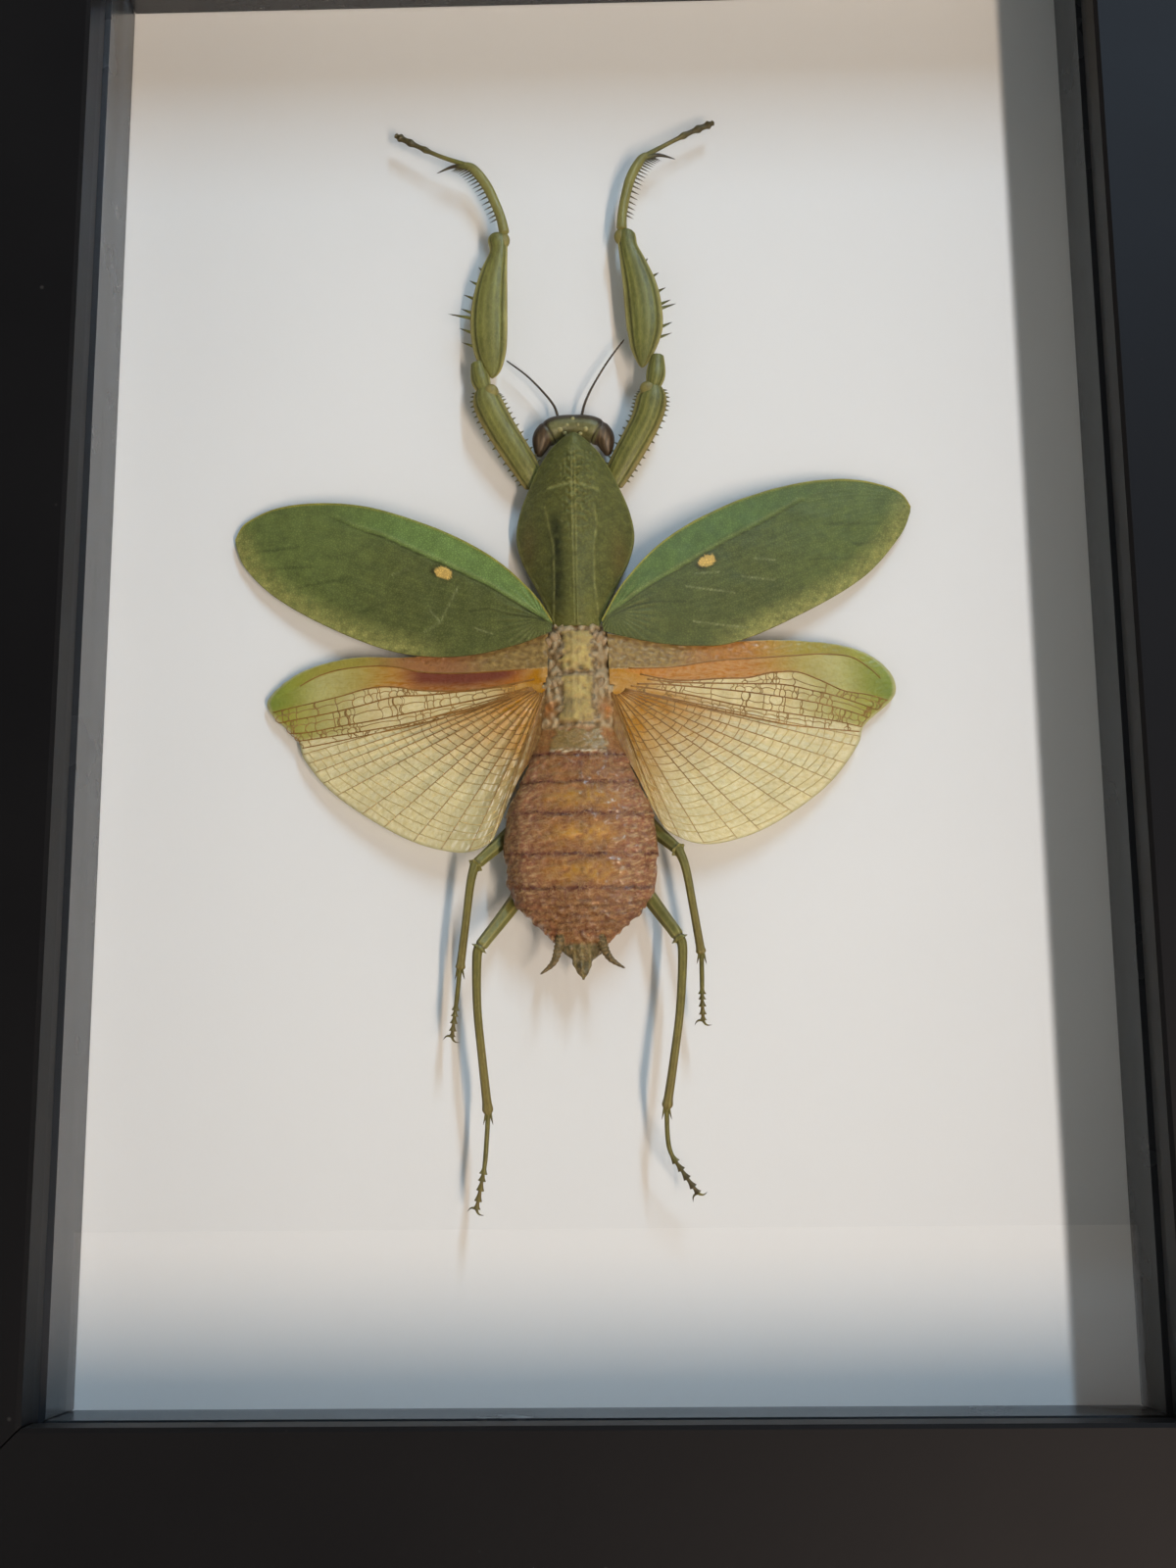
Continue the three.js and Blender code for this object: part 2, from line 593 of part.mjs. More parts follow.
// Walking legs: thigh, shin and foot along one route of [u, v, w, half width]
const walkingLegs = {
  mid_left: {
    thigh: [[-6.8, -17.4, 1.5, 0.9], [-7.4, -22.3, 1.5, 1.0], [-12.4, -28.2, 2.2, 1.0], [-15.5, -31.9, 4.2, 0.95],
      [-18.2, -35.0, 7.0, 0.8], [-19.1, -36.1, 7.9, 0.85]],
    shin: [[-19.0, -35.7, 7.8, 0.75], [-19.7, -38.8, 8.3, 0.62], [-20.5, -45.6, 8.2, 0.58], [-21.3, -52.2, 7.9, 0.62]],
    foot: [[-21.3, -51.8, 7.9], [-21.8, -56.6, 7.4], [-22.2, -59.4, 6.9], [-22.6, -62.2, 6.4]],
  },
  mid_right: {
    thigh: [[1.9, -17.2, 1.5, 0.9], [1.7, -21.4, 1.5, 1.0], [6.2, -26.6, 2.0, 1.0], [9.6, -30.7, 4.2, 0.95],
      [11.7, -33.1, 7.0, 0.8], [12.5, -34.0, 7.9, 0.85]],
    shin: [[12.3, -33.5, 7.8, 0.75], [13.5, -36.8, 8.3, 0.62], [14.6, -43.2, 8.2, 0.58], [15.7, -50.2, 7.9, 0.62]],
    foot: [[15.7, -49.8, 7.9], [15.7, -54.6, 7.4], [15.7, -57.2, 6.9], [15.8, -60.1, 6.4]],
  },
  hind_left: {
    thigh: [[-4.4, -19.6, 1.5, 0.9], [-5.2, -28.6, 1.5, 1.1], [-10.4, -36.6, 2.1, 1.1], [-13.8, -42.2, 4.6, 1.0],
      [-17.4, -47.7, 8.4, 0.85], [-18.4, -49.2, 8.9, 0.9]],
    shin: [[-18.2, -48.8, 8.8, 0.8], [-18.6, -50.6, 9.2, 0.68], [-18.5, -58.0, 9.4, 0.6], [-17.7, -66.0, 9.4, 0.6],
      [-16.8, -74.2, 9.0, 0.66]],
    foot: [[-16.8, -73.8, 9.0], [-17.3, -80.8, 8.2], [-17.9, -84.2, 7.6], [-18.7, -88.0, 6.8]],
  },
  hind_right: {
    thigh: [[-1.3, -19.6, 1.5, 0.9], [-0.6, -27.4, 1.5, 1.1], [4.5, -35.2, 2.1, 1.1], [8.2, -41.2, 4.3, 1.0],
      [11.5, -46.4, 8.4, 0.85], [12.5, -48.1, 8.9, 0.9]],
    shin: [[12.2, -47.7, 8.8, 0.8], [12.8, -49.6, 9.2, 0.68], [12.3, -58.2, 9.4, 0.6], [11.2, -66.2, 9.4, 0.6],
      [10.0, -73.6, 9.0, 0.66]],
    foot: [[10.0, -73.2, 9.0], [10.3, -79.2, 8.2], [12.3, -82.8, 7.6], [14.5, -85.9, 6.8]],
  },
};

// Foot of swollen joints, with two small claws spread at the end
function footBeads(route) {
  const curve = new THREE.CatmullRomCurve3(route.map(([u, v, w]) => new THREE.Vector3(u, v, w)));
  const joints = [[0, 0.42], [0.52, 0.36], [0.56, 0.56], [0.66, 0.34], [0.7, 0.54], [0.79, 0.34], [0.85, 0.52],
    [0.93, 0.4], [1, 0.3]];
  const path = joints.map(([t, radius]) => [...curve.getPoint(t).toArray(), radius, radius]);
  const end = curve.getPoint(1);
  const away = curve.getTangent(1);
  const claws = [-1, 1].map((side) => thorn(
    [end.x, end.y, end.z],
    [end.x + away.x * 0.9 - side * away.y * 1.1, end.y + away.y * 0.9 + side * away.x * 1.1, end.z - 0.4],
    0.22,
  ));
  return [limb(path, 6), ...claws];
}

function walkingLeg({ thigh, shin, foot }) {
  const round = (path) => path.map(([u, v, w, radius]) => [u, v, w, radius, radius * 0.85]);
  return fused([limb(round(thigh), 7), limb(round(shin), 6), ...footBeads(foot)]);
}

function mantis() {
  const pieces = [
    piece('mantis_head', fromSolid(head()), finish.head),
    piece('mantis_shield', shield(), finish.shield),
    piece('mantis_body', fromSolid(thoraxAndAbdomen()), finish.body),
  ];
  for (const side of ['left', 'right']) {
    pieces.push(
      piece(`forewing_${side}`, foreWing(foreWings[side]), finish.forewing),
      piece(`hindwing_${side}`, hindWing(hindWings[side]), finish.hindwing),
      piece(`foreleg_${side}`, fromSolid(foreLeg(foreLegs[side])), finish.leg),
    );
  }
  for (const [where, leg] of Object.entries(walkingLegs)) {
    const [pair, side] = where.split('_');
    pieces.push(piece(`${pair}leg_${side}`, fromSolid(walkingLeg(leg)), finish.leg));
  }
  return pieces;
}

const layout = new THREE.Group();
layout.rotation.x = Math.PI / 2;
layout.position.set(0, depthMiddle, centreHeight);
layout.add(
  ...frameRails(),
  ...spacerStrips(),
  ...sheets(),
  ...backingTabs(),
  ...wallHanger(),
  ...mantis(),
);

const group = new THREE.Group();
group.add(layout);

export default group;
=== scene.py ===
import math

import bpy
import numpy as np
from mathutils import Euler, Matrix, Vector


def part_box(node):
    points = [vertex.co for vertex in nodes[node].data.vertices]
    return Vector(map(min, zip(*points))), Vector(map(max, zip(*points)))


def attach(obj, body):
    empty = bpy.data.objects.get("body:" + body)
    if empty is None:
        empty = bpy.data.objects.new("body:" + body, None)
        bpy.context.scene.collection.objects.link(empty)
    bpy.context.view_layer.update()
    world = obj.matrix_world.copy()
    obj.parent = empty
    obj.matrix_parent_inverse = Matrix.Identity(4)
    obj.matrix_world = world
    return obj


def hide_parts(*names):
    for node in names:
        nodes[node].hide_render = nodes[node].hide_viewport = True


# A spread green mantis in a black box frame. Shapes are laid out in millimetres on the white board:
# u to the right and v up from its centre, w out of it towards the glass.
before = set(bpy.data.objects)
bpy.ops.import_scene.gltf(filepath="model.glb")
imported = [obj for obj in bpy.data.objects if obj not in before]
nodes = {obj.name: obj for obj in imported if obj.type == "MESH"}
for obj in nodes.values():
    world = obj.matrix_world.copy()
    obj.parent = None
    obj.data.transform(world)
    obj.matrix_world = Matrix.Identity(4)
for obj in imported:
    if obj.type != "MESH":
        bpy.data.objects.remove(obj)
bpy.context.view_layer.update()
mm = 0.001
boardLow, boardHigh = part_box("mounting_board")
boardCentre = Vector(((boardLow.x + boardHigh.x) / 2, boardLow.y, (boardLow.z + boardHigh.z) / 2))


def toFrame(points):
    # (u, v, w) in mm becomes (centre + u, front of the board - w, centre + v) in metres
    u, v, w = np.moveaxis(np.asarray(points, float) * mm, -1, 0)
    return np.stack([boardCentre.x + u, boardCentre.y - w, boardCentre.z + v], -1)


# Camera, at the photo's place: close in front, a little low and tilted up
camera = dict(place=(6.46, -87.08, 310.57), pitch=11.92, yaw=1.47, roll=-0.75, focal=2020.8, imageHeight=1600,
              film=36)


def setCamera():
    # The lens is the focal length in pixels over the image's height, times the film's height
    data = bpy.data.cameras.new("camera")
    data.sensor_width = camera["film"]
    data.lens = camera["focal"] / camera["imageHeight"] * camera["film"]
    data.clip_start = 0.01
    viewer = bpy.data.objects.new("camera", data)
    viewer.location = toFrame(camera["place"])
    viewer.rotation_mode = "ZYX"
    turn = [90 + camera["pitch"], camera["yaw"], camera["roll"]]
    viewer.rotation_euler = Euler([math.radians(a) for a in turn], "ZYX")
    bpy.context.scene.collection.objects.link(viewer)
    bpy.context.scene.camera = viewer
    print("camera set")


def srgb(code):
    # Each channel c of a hex colour becomes c/12.92 below 0.04045, and ((c + 0.055)/1.055)^2.4 above
    c = np.array([int(code[i:i + 2], 16) for i in (1, 3, 5)]) / 255
    linear = np.where(c <= 0.04045, c / 12.92, ((c + 0.055) / 1.055) ** 2.4)
    return (*[float(x) for x in linear], 1.0)


# One tall window to the right: its low part gives warm light, its high part cool light. Places are in metres
# from the board's centre.
lamps = {
    "warmWindow": dict(place=(0.41, -0.525, 1.0), size=(0.04, 0.63), watts=9.4, colour="#ffe4d1"),
    "coolWindow": dict(place=(0.41, 0.89, 1.0), size=(0.04, 0.64), watts=8.7, colour="#c2e0ff"),
    "backSoftbox": dict(place=(-0.5, 0.75, -1.1), size=(0.9, 0.9), watts=9.0, colour="#fff6ea"),
}
room = dict(low="#d8edff", high="#f6e6da", strength=0.53, behindCamera=0.01, coneEdge=(-0.8, -0.6))


def setLights():
    # Lamps aimed at the board's centre, and a room whose light runs from low to high and is dark behind the camera
    for name, lamp in lamps.items():
        data = bpy.data.lights.new(name, "AREA")
        data.shape = "RECTANGLE"
        data.size, data.size_y = lamp["size"]
        data.energy = lamp["watts"]
        data.color = srgb(lamp["colour"])[:3]
        thing = bpy.data.objects.new(name, data)
        thing.location = toFrame(np.array(lamp["place"]) / mm)
        aim = boardCentre - thing.location
        thing.rotation_euler = aim.to_track_quat("-Z", "Y").to_euler()
        bpy.context.scene.collection.objects.link(thing)
    world = bpy.data.worlds.new("room")
    bpy.context.scene.world = world
    world.use_nodes = True
    tree = world.node_tree
    tree.nodes.clear()
    place = addNode(tree, "SeparateXYZ", {"Vector": addNode(tree, "TexCoord").outputs["Generated"]})
    share = addNode(tree, "MapRange", {"Value": place.outputs["Z"], "From Min": -0.3, "From Max": 0.3})
    low, high = srgb(room["low"]), srgb(room["high"])
    tint = addNode(tree, "Mix", {"Factor": share, "A": low, "B": high}, data_type="RGBA")
    inner, outer = room["coneEdge"]
    level = addNode(tree, "MapRange", {"Value": place.outputs["Y"], "From Min": inner, "From Max": outer,
                                       "To Min": room["behindCamera"], "To Max": room["strength"]})
    glow = addNode(tree, "Background", {"Color": tint, "Strength": level})
    addNode(tree, "OutputWorld", {"Surface": glow})
    bpy.context.scene.view_settings.view_transform = "Standard"
    print("lights set")


def addNode(tree, kind, inputs=None, **settings):
    # Adds a shader node, sets its properties, then gives each input, by name or number, its value or its link.
    # A node given as a value stands for the first of its outputs that is in use.
    node = tree.nodes.new("ShaderNode" + kind)
    for name, value in settings.items():
        setattr(node, name, value)
    for name, value in (inputs or {}).items():
        same = [s for s in node.inputs if s.name == name and s.enabled]
        socket = same[0] if same else node.inputs[name]
        if isinstance(value, bpy.types.Node):
            value = next(s for s in value.outputs if s.enabled)
        if isinstance(value, bpy.types.NodeSocket):
            tree.links.new(value, socket)
        else:
            socket.default_value = value
    return node


def newMaterial(name):
    # A material and its empty node tree
    material = bpy.data.materials.new(name)
    material.use_nodes = True
    material.node_tree.nodes.clear()
    return material, material.node_tree


def finishMaterial(tree, inputs):
    # The shader with its inputs, and the output that shows it
    shader = addNode(tree, "BsdfPrincipled", inputs)
    addNode(tree, "OutputMaterial", {"Surface": shader})


def coating(name, tones, cloud, share=(0.0, 1.0), fine=None, relief=(0.0, 0.0), over=None, roughness=0.7,
            stretch=(1, 1, 1), sockets=None):
    # Two tones mixed by a noise, then a third tone where a second pattern is within a range. A pair of roughnesses
    # follows the first noise, and a finer noise gives the relief, as a strength and a height in mm. A noise is
    # given by its cells per metre, its detail and its distortion.
    material, tree = newMaterial(name)
    where = addNode(tree, "TexCoord").outputs["Object"]
    laid = addNode(tree, "Mapping", {"Vector": where, "Scale": stretch})
    noiseInputs = ("Vector", "Scale", "Detail", "Distortion")
    clouds = addNode(tree, "TexNoise", dict(zip(noiseInputs, (laid, *cloud))))
    amount = addNode(tree, "MapRange", {"Value": clouds, "From Min": share[0], "From Max": share[1]})
    colour = addNode(tree, "Mix", {"Factor": amount, "A": srgb(tones[0]), "B": srgb(tones[1])}, data_type="RGBA")
    if over:
        kind, settings, low, high, tint = over
        pattern = addNode(tree, kind, {"Vector": laid, **settings})
        amount = addNode(tree, "MapRange", {"Value": pattern, "From Min": low, "From Max": high})
        colour = addNode(tree, "Mix", {"Factor": amount, "A": colour, "B": srgb(tint)}, data_type="RGBA")
    if isinstance(roughness, tuple):
        roughness = addNode(tree, "MapRange", {"Value": clouds, "To Min": roughness[0], "To Max": roughness[1]})
    inputs = {"Base Color": colour, "Roughness": roughness, **(sockets or {})}
    if fine:
        grain = addNode(tree, "TexNoise", dict(zip(noiseInputs, (laid, *fine))))
        strength, height = relief
        inputs["Normal"] = addNode(tree, "Bump", {"Height": grain, "Strength": strength, "Distance": height * mm})
    finishMaterial(tree, inputs)
    return material


# Finishes of the frame's parts, by the start of their names
frameFinishes = {
    # Satin black lacquer sprayed on wood moulding: even and nearly black, a fine orange peel, some dust in it
    "rail": dict(name="satin black lacquer", tones=("#0b0b0c", "#101010"), cloud=(40.0, 4.0), fine=(900.0, 3.0),
                 relief=(0.12, 0.1), over=("TexVoronoi", {"Scale": 130.0}, 0.05, 0.02, "#2c2c2a"),
                 roughness=(0.42, 0.52), sockets={"IOR": 1.5, "Specular IOR Level": 0.14}),
    # Black polystyrene strip, extruded and glossy, so that it mirrors the board at a low angle
    "spacer": dict(name="gloss black styrene", tones=("#292b2e", "#333539"), cloud=(60.0, 4.0), fine=(700.0, 2.0),
                   relief=(0.08, 0.1), roughness=(0.2, 0.32), sockets={"IOR": 1.55}),
    # White mounting board: matt coated paper, with a fine felt and hardly any tint
    "mounting_board": dict(name="white mounting board", tones=("#e9e9e7", "#ededeb"), cloud=(25.0, 3.0),
                           fine=(1500.0, 4.0), relief=(0.25, 0.05), roughness=0.8),
    # Brown hardboard: pressed wood fibre with a smooth, slightly shiny face
    "backing_panel": dict(name="brown hardboard", tones=("#5a3d27", "#83603f"), cloud=(420.0, 5.0, 2.0),
                          share=(0.35, 0.65), fine=(420.0, 5.0, 2.0), relief=(0.3, 0.1),
                          over=("TexNoise", {"Scale": 22.0, "Detail": 4.0}, 0.0, 1.0, "#6f4d31"), roughness=0.6),
    # Zinc-plated steel, rolled and stamped: grey with a fine grain along the rolling
    "backing_tab": dict(name="zinc-plated steel", tones=("#85878a", "#b4b6b8"), cloud=(1.0, 4.0),
                        roughness=(0.28, 0.46), stretch=(60.0, 900.0, 900.0), sockets={"Metallic": 1.0}),
}
floor = dict(reach=4.0, finish=dict(name="pale matt table top", tones=("#d4d2ce", "#dad8d4"), cloud=(3.0, 3.0)))


# Float glass, 2 mm, clear and flat
def floatGlass():
    material, tree = newMaterial("clear float glass")
    finishMaterial(tree, {"Base Color": srgb("#f6fbf8"), "Roughness": 0.0, "IOR": 1.5, "Transmission Weight": 1.0})
    return material


def dressFrame():
    # The solids of the CAD model keep their shape, and the pane lets the lamps' light through without a shadow
    looks = {start: coating(**finish) for start, finish in frameFinishes.items()}
    looks["glass"] = floatGlass()
    looks["hanger"] = looks["backing_tab"]
    for name, thing in nodes.items():
        for start, look in looks.items():
            if name.startswith(start):
                thing.data.materials.clear()
                thing.data.materials.append(look)
    pane = nodes["glass_pane"]
    pane.visible_shadow = False
    pane.visible_diffuse = False
    print("frame dressed")


# Pale matt table top that the frame stands on
def addFloor():
    reach = floor["reach"]
    corners = [(-reach, -reach, 0), (reach, -reach, 0), (reach, reach, 0), (-reach, reach, 0)]
    mesh = bpy.data.meshes.new("floor")
    mesh.from_pydata(corners, [], [(0, 1, 2, 3)])
    mesh.materials.append(coating(**floor["finish"]))
    thing = bpy.data.objects.new("floor", mesh)
    thing.visible_shadow = False  # the low part of the window shines from below the table's level
    bpy.context.scene.collection.objects.link(thing)
    print("floor added")


seeded = np.random.default_rng(11)


def midline(v):
    # The body's middle is 3.1 mm left of the board's, and 0.012 mm more for each mm up
    return -3.1 - 0.012 * v


def fade(x, low, high):
    # 0 up to low, 1 from high on, and 3t² - 2t³ between them; low may be the larger
    t = np.clip((x - low) / (high - low), 0, 1)
    return t * t * (3 - 2 * t)


def bump(x, middle, width):
    # Bell of height 1: e to the power of -((x - middle)/width)²
    return np.exp(-((x - middle) / width) ** 2)


def uneven(place, size, waves=24):
    # Smooth seeded noise of about -1 to 1 in the board plane: the sum of sine waves in random directions, of
    # lengths from half the size to twice the size, over the root of half their number
    turn, phase = seeded.uniform(0, 2 * np.pi, (2, waves))
    length = size * 2 ** seeded.uniform(-1, 1, waves)
    along = place[..., 0, None] * np.cos(turn) + place[..., 1, None] * np.sin(turn)
    return np.sin(2 * np.pi * along / length + phase).sum(-1) / math.sqrt(waves / 2) / 1.5


def box(x, low, high, soft):
    # 1 between low and high, with soft edges
    return fade(x, low - soft, low + soft) * fade(x, high + soft, high - soft)


def curveThrough(points, share):
    # Smooth curve through rows of numbers, at shares 0 to 1 of its length counted in rows. Between rows b and c,
    # with a before and d after, it is half of 2b + (c-a)s + (2a-5b+4c-d)s² + (3b-a-3c+d)s³.
    rows = np.asarray(points, float)
    last = len(rows) - 1
    x = np.clip(share, 0, 1) * last
    i = np.minimum(x.astype(int), last - 1)
    s = (x - i)[..., None]
    a, b, c, d = (rows[np.clip(i + step, 0, last)] for step in (-1, 0, 1, 2))
    return 0.5 * (2 * b + (c - a) * s + (2 * a - 5 * b + 4 * c - d) * s ** 2 + (3 * b - a - 3 * c + d) * s ** 3)


def distanceTo(place, route):
    # Distance in the board plane to the nearest straight run of a route, positive on its left. Each place is
    # dropped square on every run, held between its ends, and the shortest drop is kept.
    route = np.asarray(route, float)[:, :2]
    p = place[..., None, :2]
    start, run = route[:-1], np.diff(route, axis=0)
    share = np.clip(((p - start) * run).sum(-1) / (run ** 2).sum(-1), 0, 1)
    off = p - start - share[..., None] * run
    far = np.hypot(off[..., 0], off[..., 1])
    side = np.where(run[:, 0] * off[..., 1] < run[:, 1] * off[..., 0], -1, 1)
    nearest = far.argmin(-1)[..., None]
    return np.take_along_axis(far * side, nearest, -1)[..., 0]


def stroke(place, route, width):
    # 1 on a route, falling to 0 at the width
    return fade(np.abs(distanceTo(place, route)), width, 0)


def skin(rings, ends="middle", look=0, **fields):
    # Closed skin over rings of points [..., ring, around, 3]: four-sided faces between neighbours. An end is a fan
    # of triangles to its middle, or for a flat leaf a row of faces across it.
    rings = np.asarray(rings, float)
    rows, sides = rings.shape[-3:-1]
    points = rings.reshape(-1, rows * sides, 3)
    values = {key: np.broadcast_to(value, rings.shape[:-1]).reshape(-1, rows * sides)
              for key, value in fields.items()}
    i, j = (x.ravel() for x in np.meshgrid(np.arange(rows - 1), np.arange(sides), indexing="ij"))
    after = (j + 1) % sides
    fours = np.stack([i * sides + j, i * sides + after, (i + 1) * sides + after, (i + 1) * sides + j], -1)
    threes = np.zeros((0, 3), int)
    j = np.arange(sides)
    after, final = (j + 1) % sides, (rows - 1) * sides
    if ends == "middle":
        middles = np.stack([points[:, :sides].mean(1), points[:, final:].mean(1)], 1)
        points = np.concatenate([points, middles], 1)
        values = {key: np.concatenate([v, v[:, :1], v[:, final:final + 1]], 1) for key, v in values.items()}
        top = np.full(sides, rows * sides)
        threes = np.concatenate([np.stack([after, j, top], -1),
                                 np.stack([final + j, final + after, top + 1], -1)])
    else:
        j = np.arange(sides // 2 - 1)
        across = np.stack([j + 1, j, sides - 1 - j, sides - 2 - j], -1)
        fours = np.concatenate([fours, across, final + across[:, ::-1]])
    shift = (np.arange(len(points)) * points.shape[1])[:, None, None]
    fours, threes = (fours + shift).reshape(-1, 4), (threes + shift).reshape(-1, 3)
    points = points.reshape(-1, 3)
    corners = points[np.concatenate([fours[:, :3], fours[:, [0, 2, 3]], threes])]
    volume = (corners[:, 0] * np.cross(corners[:, 1], corners[:, 2])).sum()
    if volume < 0:
        fours, threes = fours[:, ::-1], threes[:, ::-1]
    return dict(points=points, fours=fours, threes=threes, look=look,
                fields={key: v.ravel() for key, v in values.items()})


def grid(rows, columns, first=0.0):
    # Shares 0 to 1 down the rows, and first to 1 across the columns
    return np.meshgrid(np.linspace(0, 1, rows), np.linspace(first, 1, columns), indexing="ij")


def leaf(place, upper, under, **fields):
    # Sheet over a grid in the board plane, between an upper and an under height
    top, bottom = (np.concatenate([place, height[..., None]], -1) for height in (upper, under))
    bothSides = {key: np.concatenate([v, v[:, ::-1]], 1) for key, v in fields.items()}
    return skin(np.concatenate([top, bottom[:, ::-1]], 1), "across", **bothSides)


def tube(centre, halfWidth, halfThickness, sides=10, grow=1.0, look=0, **fields):
    # Oval section carried along a route: centre + across · half width · cos a + up · half thickness · sin a.
    # Across is square to the route in the board plane, and up is square to both.
    along = np.gradient(centre, axis=-2)
    along = along / np.linalg.norm(along, axis=-1, keepdims=True)
    across = np.cross(along, (0, 0, 1.0))
    across = across / np.linalg.norm(across, axis=-1, keepdims=True)
    up = np.cross(across, along)
    angle = 2 * np.pi * np.arange(sides) / sides
    wide = (np.asarray(halfWidth)[..., None] * np.cos(angle) * grow)[..., None]
    tall = (np.asarray(halfThickness)[..., None] * np.sin(angle) * grow)[..., None]
    rings = centre[..., None, :] + across[..., None, :] * wide + up[..., None, :] * tall
    return skin(rings, look=look, **fields)


def limb(path, rows=60, sides=16, grow=1.0, look=0, **fields):
    # Tube along the curve through rows of [u, v, w, half width, half thickness], its ends rounded off
    t = np.linspace(0, 1, rows)
    stations = curveThrough(path, t)
    rounded = np.sqrt(fade(t, -0.02, 0.05) * fade(t, 1.02, 0.95))
    return tube(stations[:, :3], stations[:, 3] * rounded, stations[:, 4] * rounded, sides, grow, look, **fields)


def thorns(roots, tips, radius, bend=0.0, tone=0.0):
    # Small cones from roots to tips, thinning with the 0.8th power of what is left of their length
    roots, tips = np.asarray(roots, float), np.asarray(tips, float)
    t = np.linspace(0, 1, 6)
    run = (tips - roots)[:, None]
    sideways = np.cross(run, (0, 0, 1.0)) * (bend * np.sin(np.pi * t))[:, None]
    centre = roots[:, None] + run * t[:, None] + sideways
    thin = np.asarray(radius).reshape(-1, 1) * (1.02 - t) ** 0.8
    return tube(centre, thin, thin, 7, dark=np.maximum(tone, fade(t, 0.3, 0.9))[:, None])


def ball(centre, radii, rows, sides, **fields):
    # Ellipsoid: centre + radii · (sin p cos a, cos p, sin p sin a), p from pole to pole along v
    p = np.linspace(0.02, np.pi - 0.02, rows)[:, None]
    a = 2 * np.pi * np.arange(sides) / sides
    unit = np.stack([np.sin(p) * np.cos(a), np.cos(p) * np.ones_like(a), np.sin(p) * np.sin(a)], -1)
    return skin(centre + unit * radii, **fields)


def makePiece(node, parts, looks):
    # One object in place of a solid, from closed skins that carry their look and their fields
    sizes = [len(part["points"]) for part in parts]
    starts = np.cumsum([0] + sizes[:-1])
    faces, lookOf = [], []
    for part, start in zip(parts, starts):
        faces += (part["fours"] + start).tolist() + (part["threes"] + start).tolist()
        lookOf += [part["look"]] * (len(part["fours"]) + len(part["threes"]))
    mesh = bpy.data.meshes.new(node + "_looks")
    mesh.from_pydata(toFrame(np.concatenate([part["points"] for part in parts])).tolist(), [], faces)
    for look in looks:
        mesh.materials.append(look)
    mesh.polygons.foreach_set("material_index", np.array(lookOf, np.int32))
    mesh.polygons.foreach_set("use_smooth", np.ones(len(faces), bool))
    for key in sorted({key for part in parts for key in part["fields"]}):
        values = [part["fields"].get(key, np.zeros(size)) for part, size in zip(parts, sizes)]
        mesh.attributes.new(key, "FLOAT", "POINT").data.foreach_set("value", np.concatenate(values))
    mesh.update()
    thing = bpy.data.objects.new(node + "_looks", mesh)
    bpy.context.scene.collection.objects.link(thing)
    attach(thing, "root")
    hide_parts(node)
    print(node, sum(2 * len(part["fours"]) + len(part["threes"]) for part in parts), "triangles")


# What the insect's skins share. A range says between which values of its noise an effect grows from none to full.
chitinBase = dict(tones=(0.35, 0.65), walls=(0.0, 0.3), damp=(0.5, 0.6), lineWidth=0.03, netLight=0.15,
                  wallHeight=0.25, lineHeight=4.0, smoothing=0.2, dampRoughness=0.16, wetRoughness=0.12)


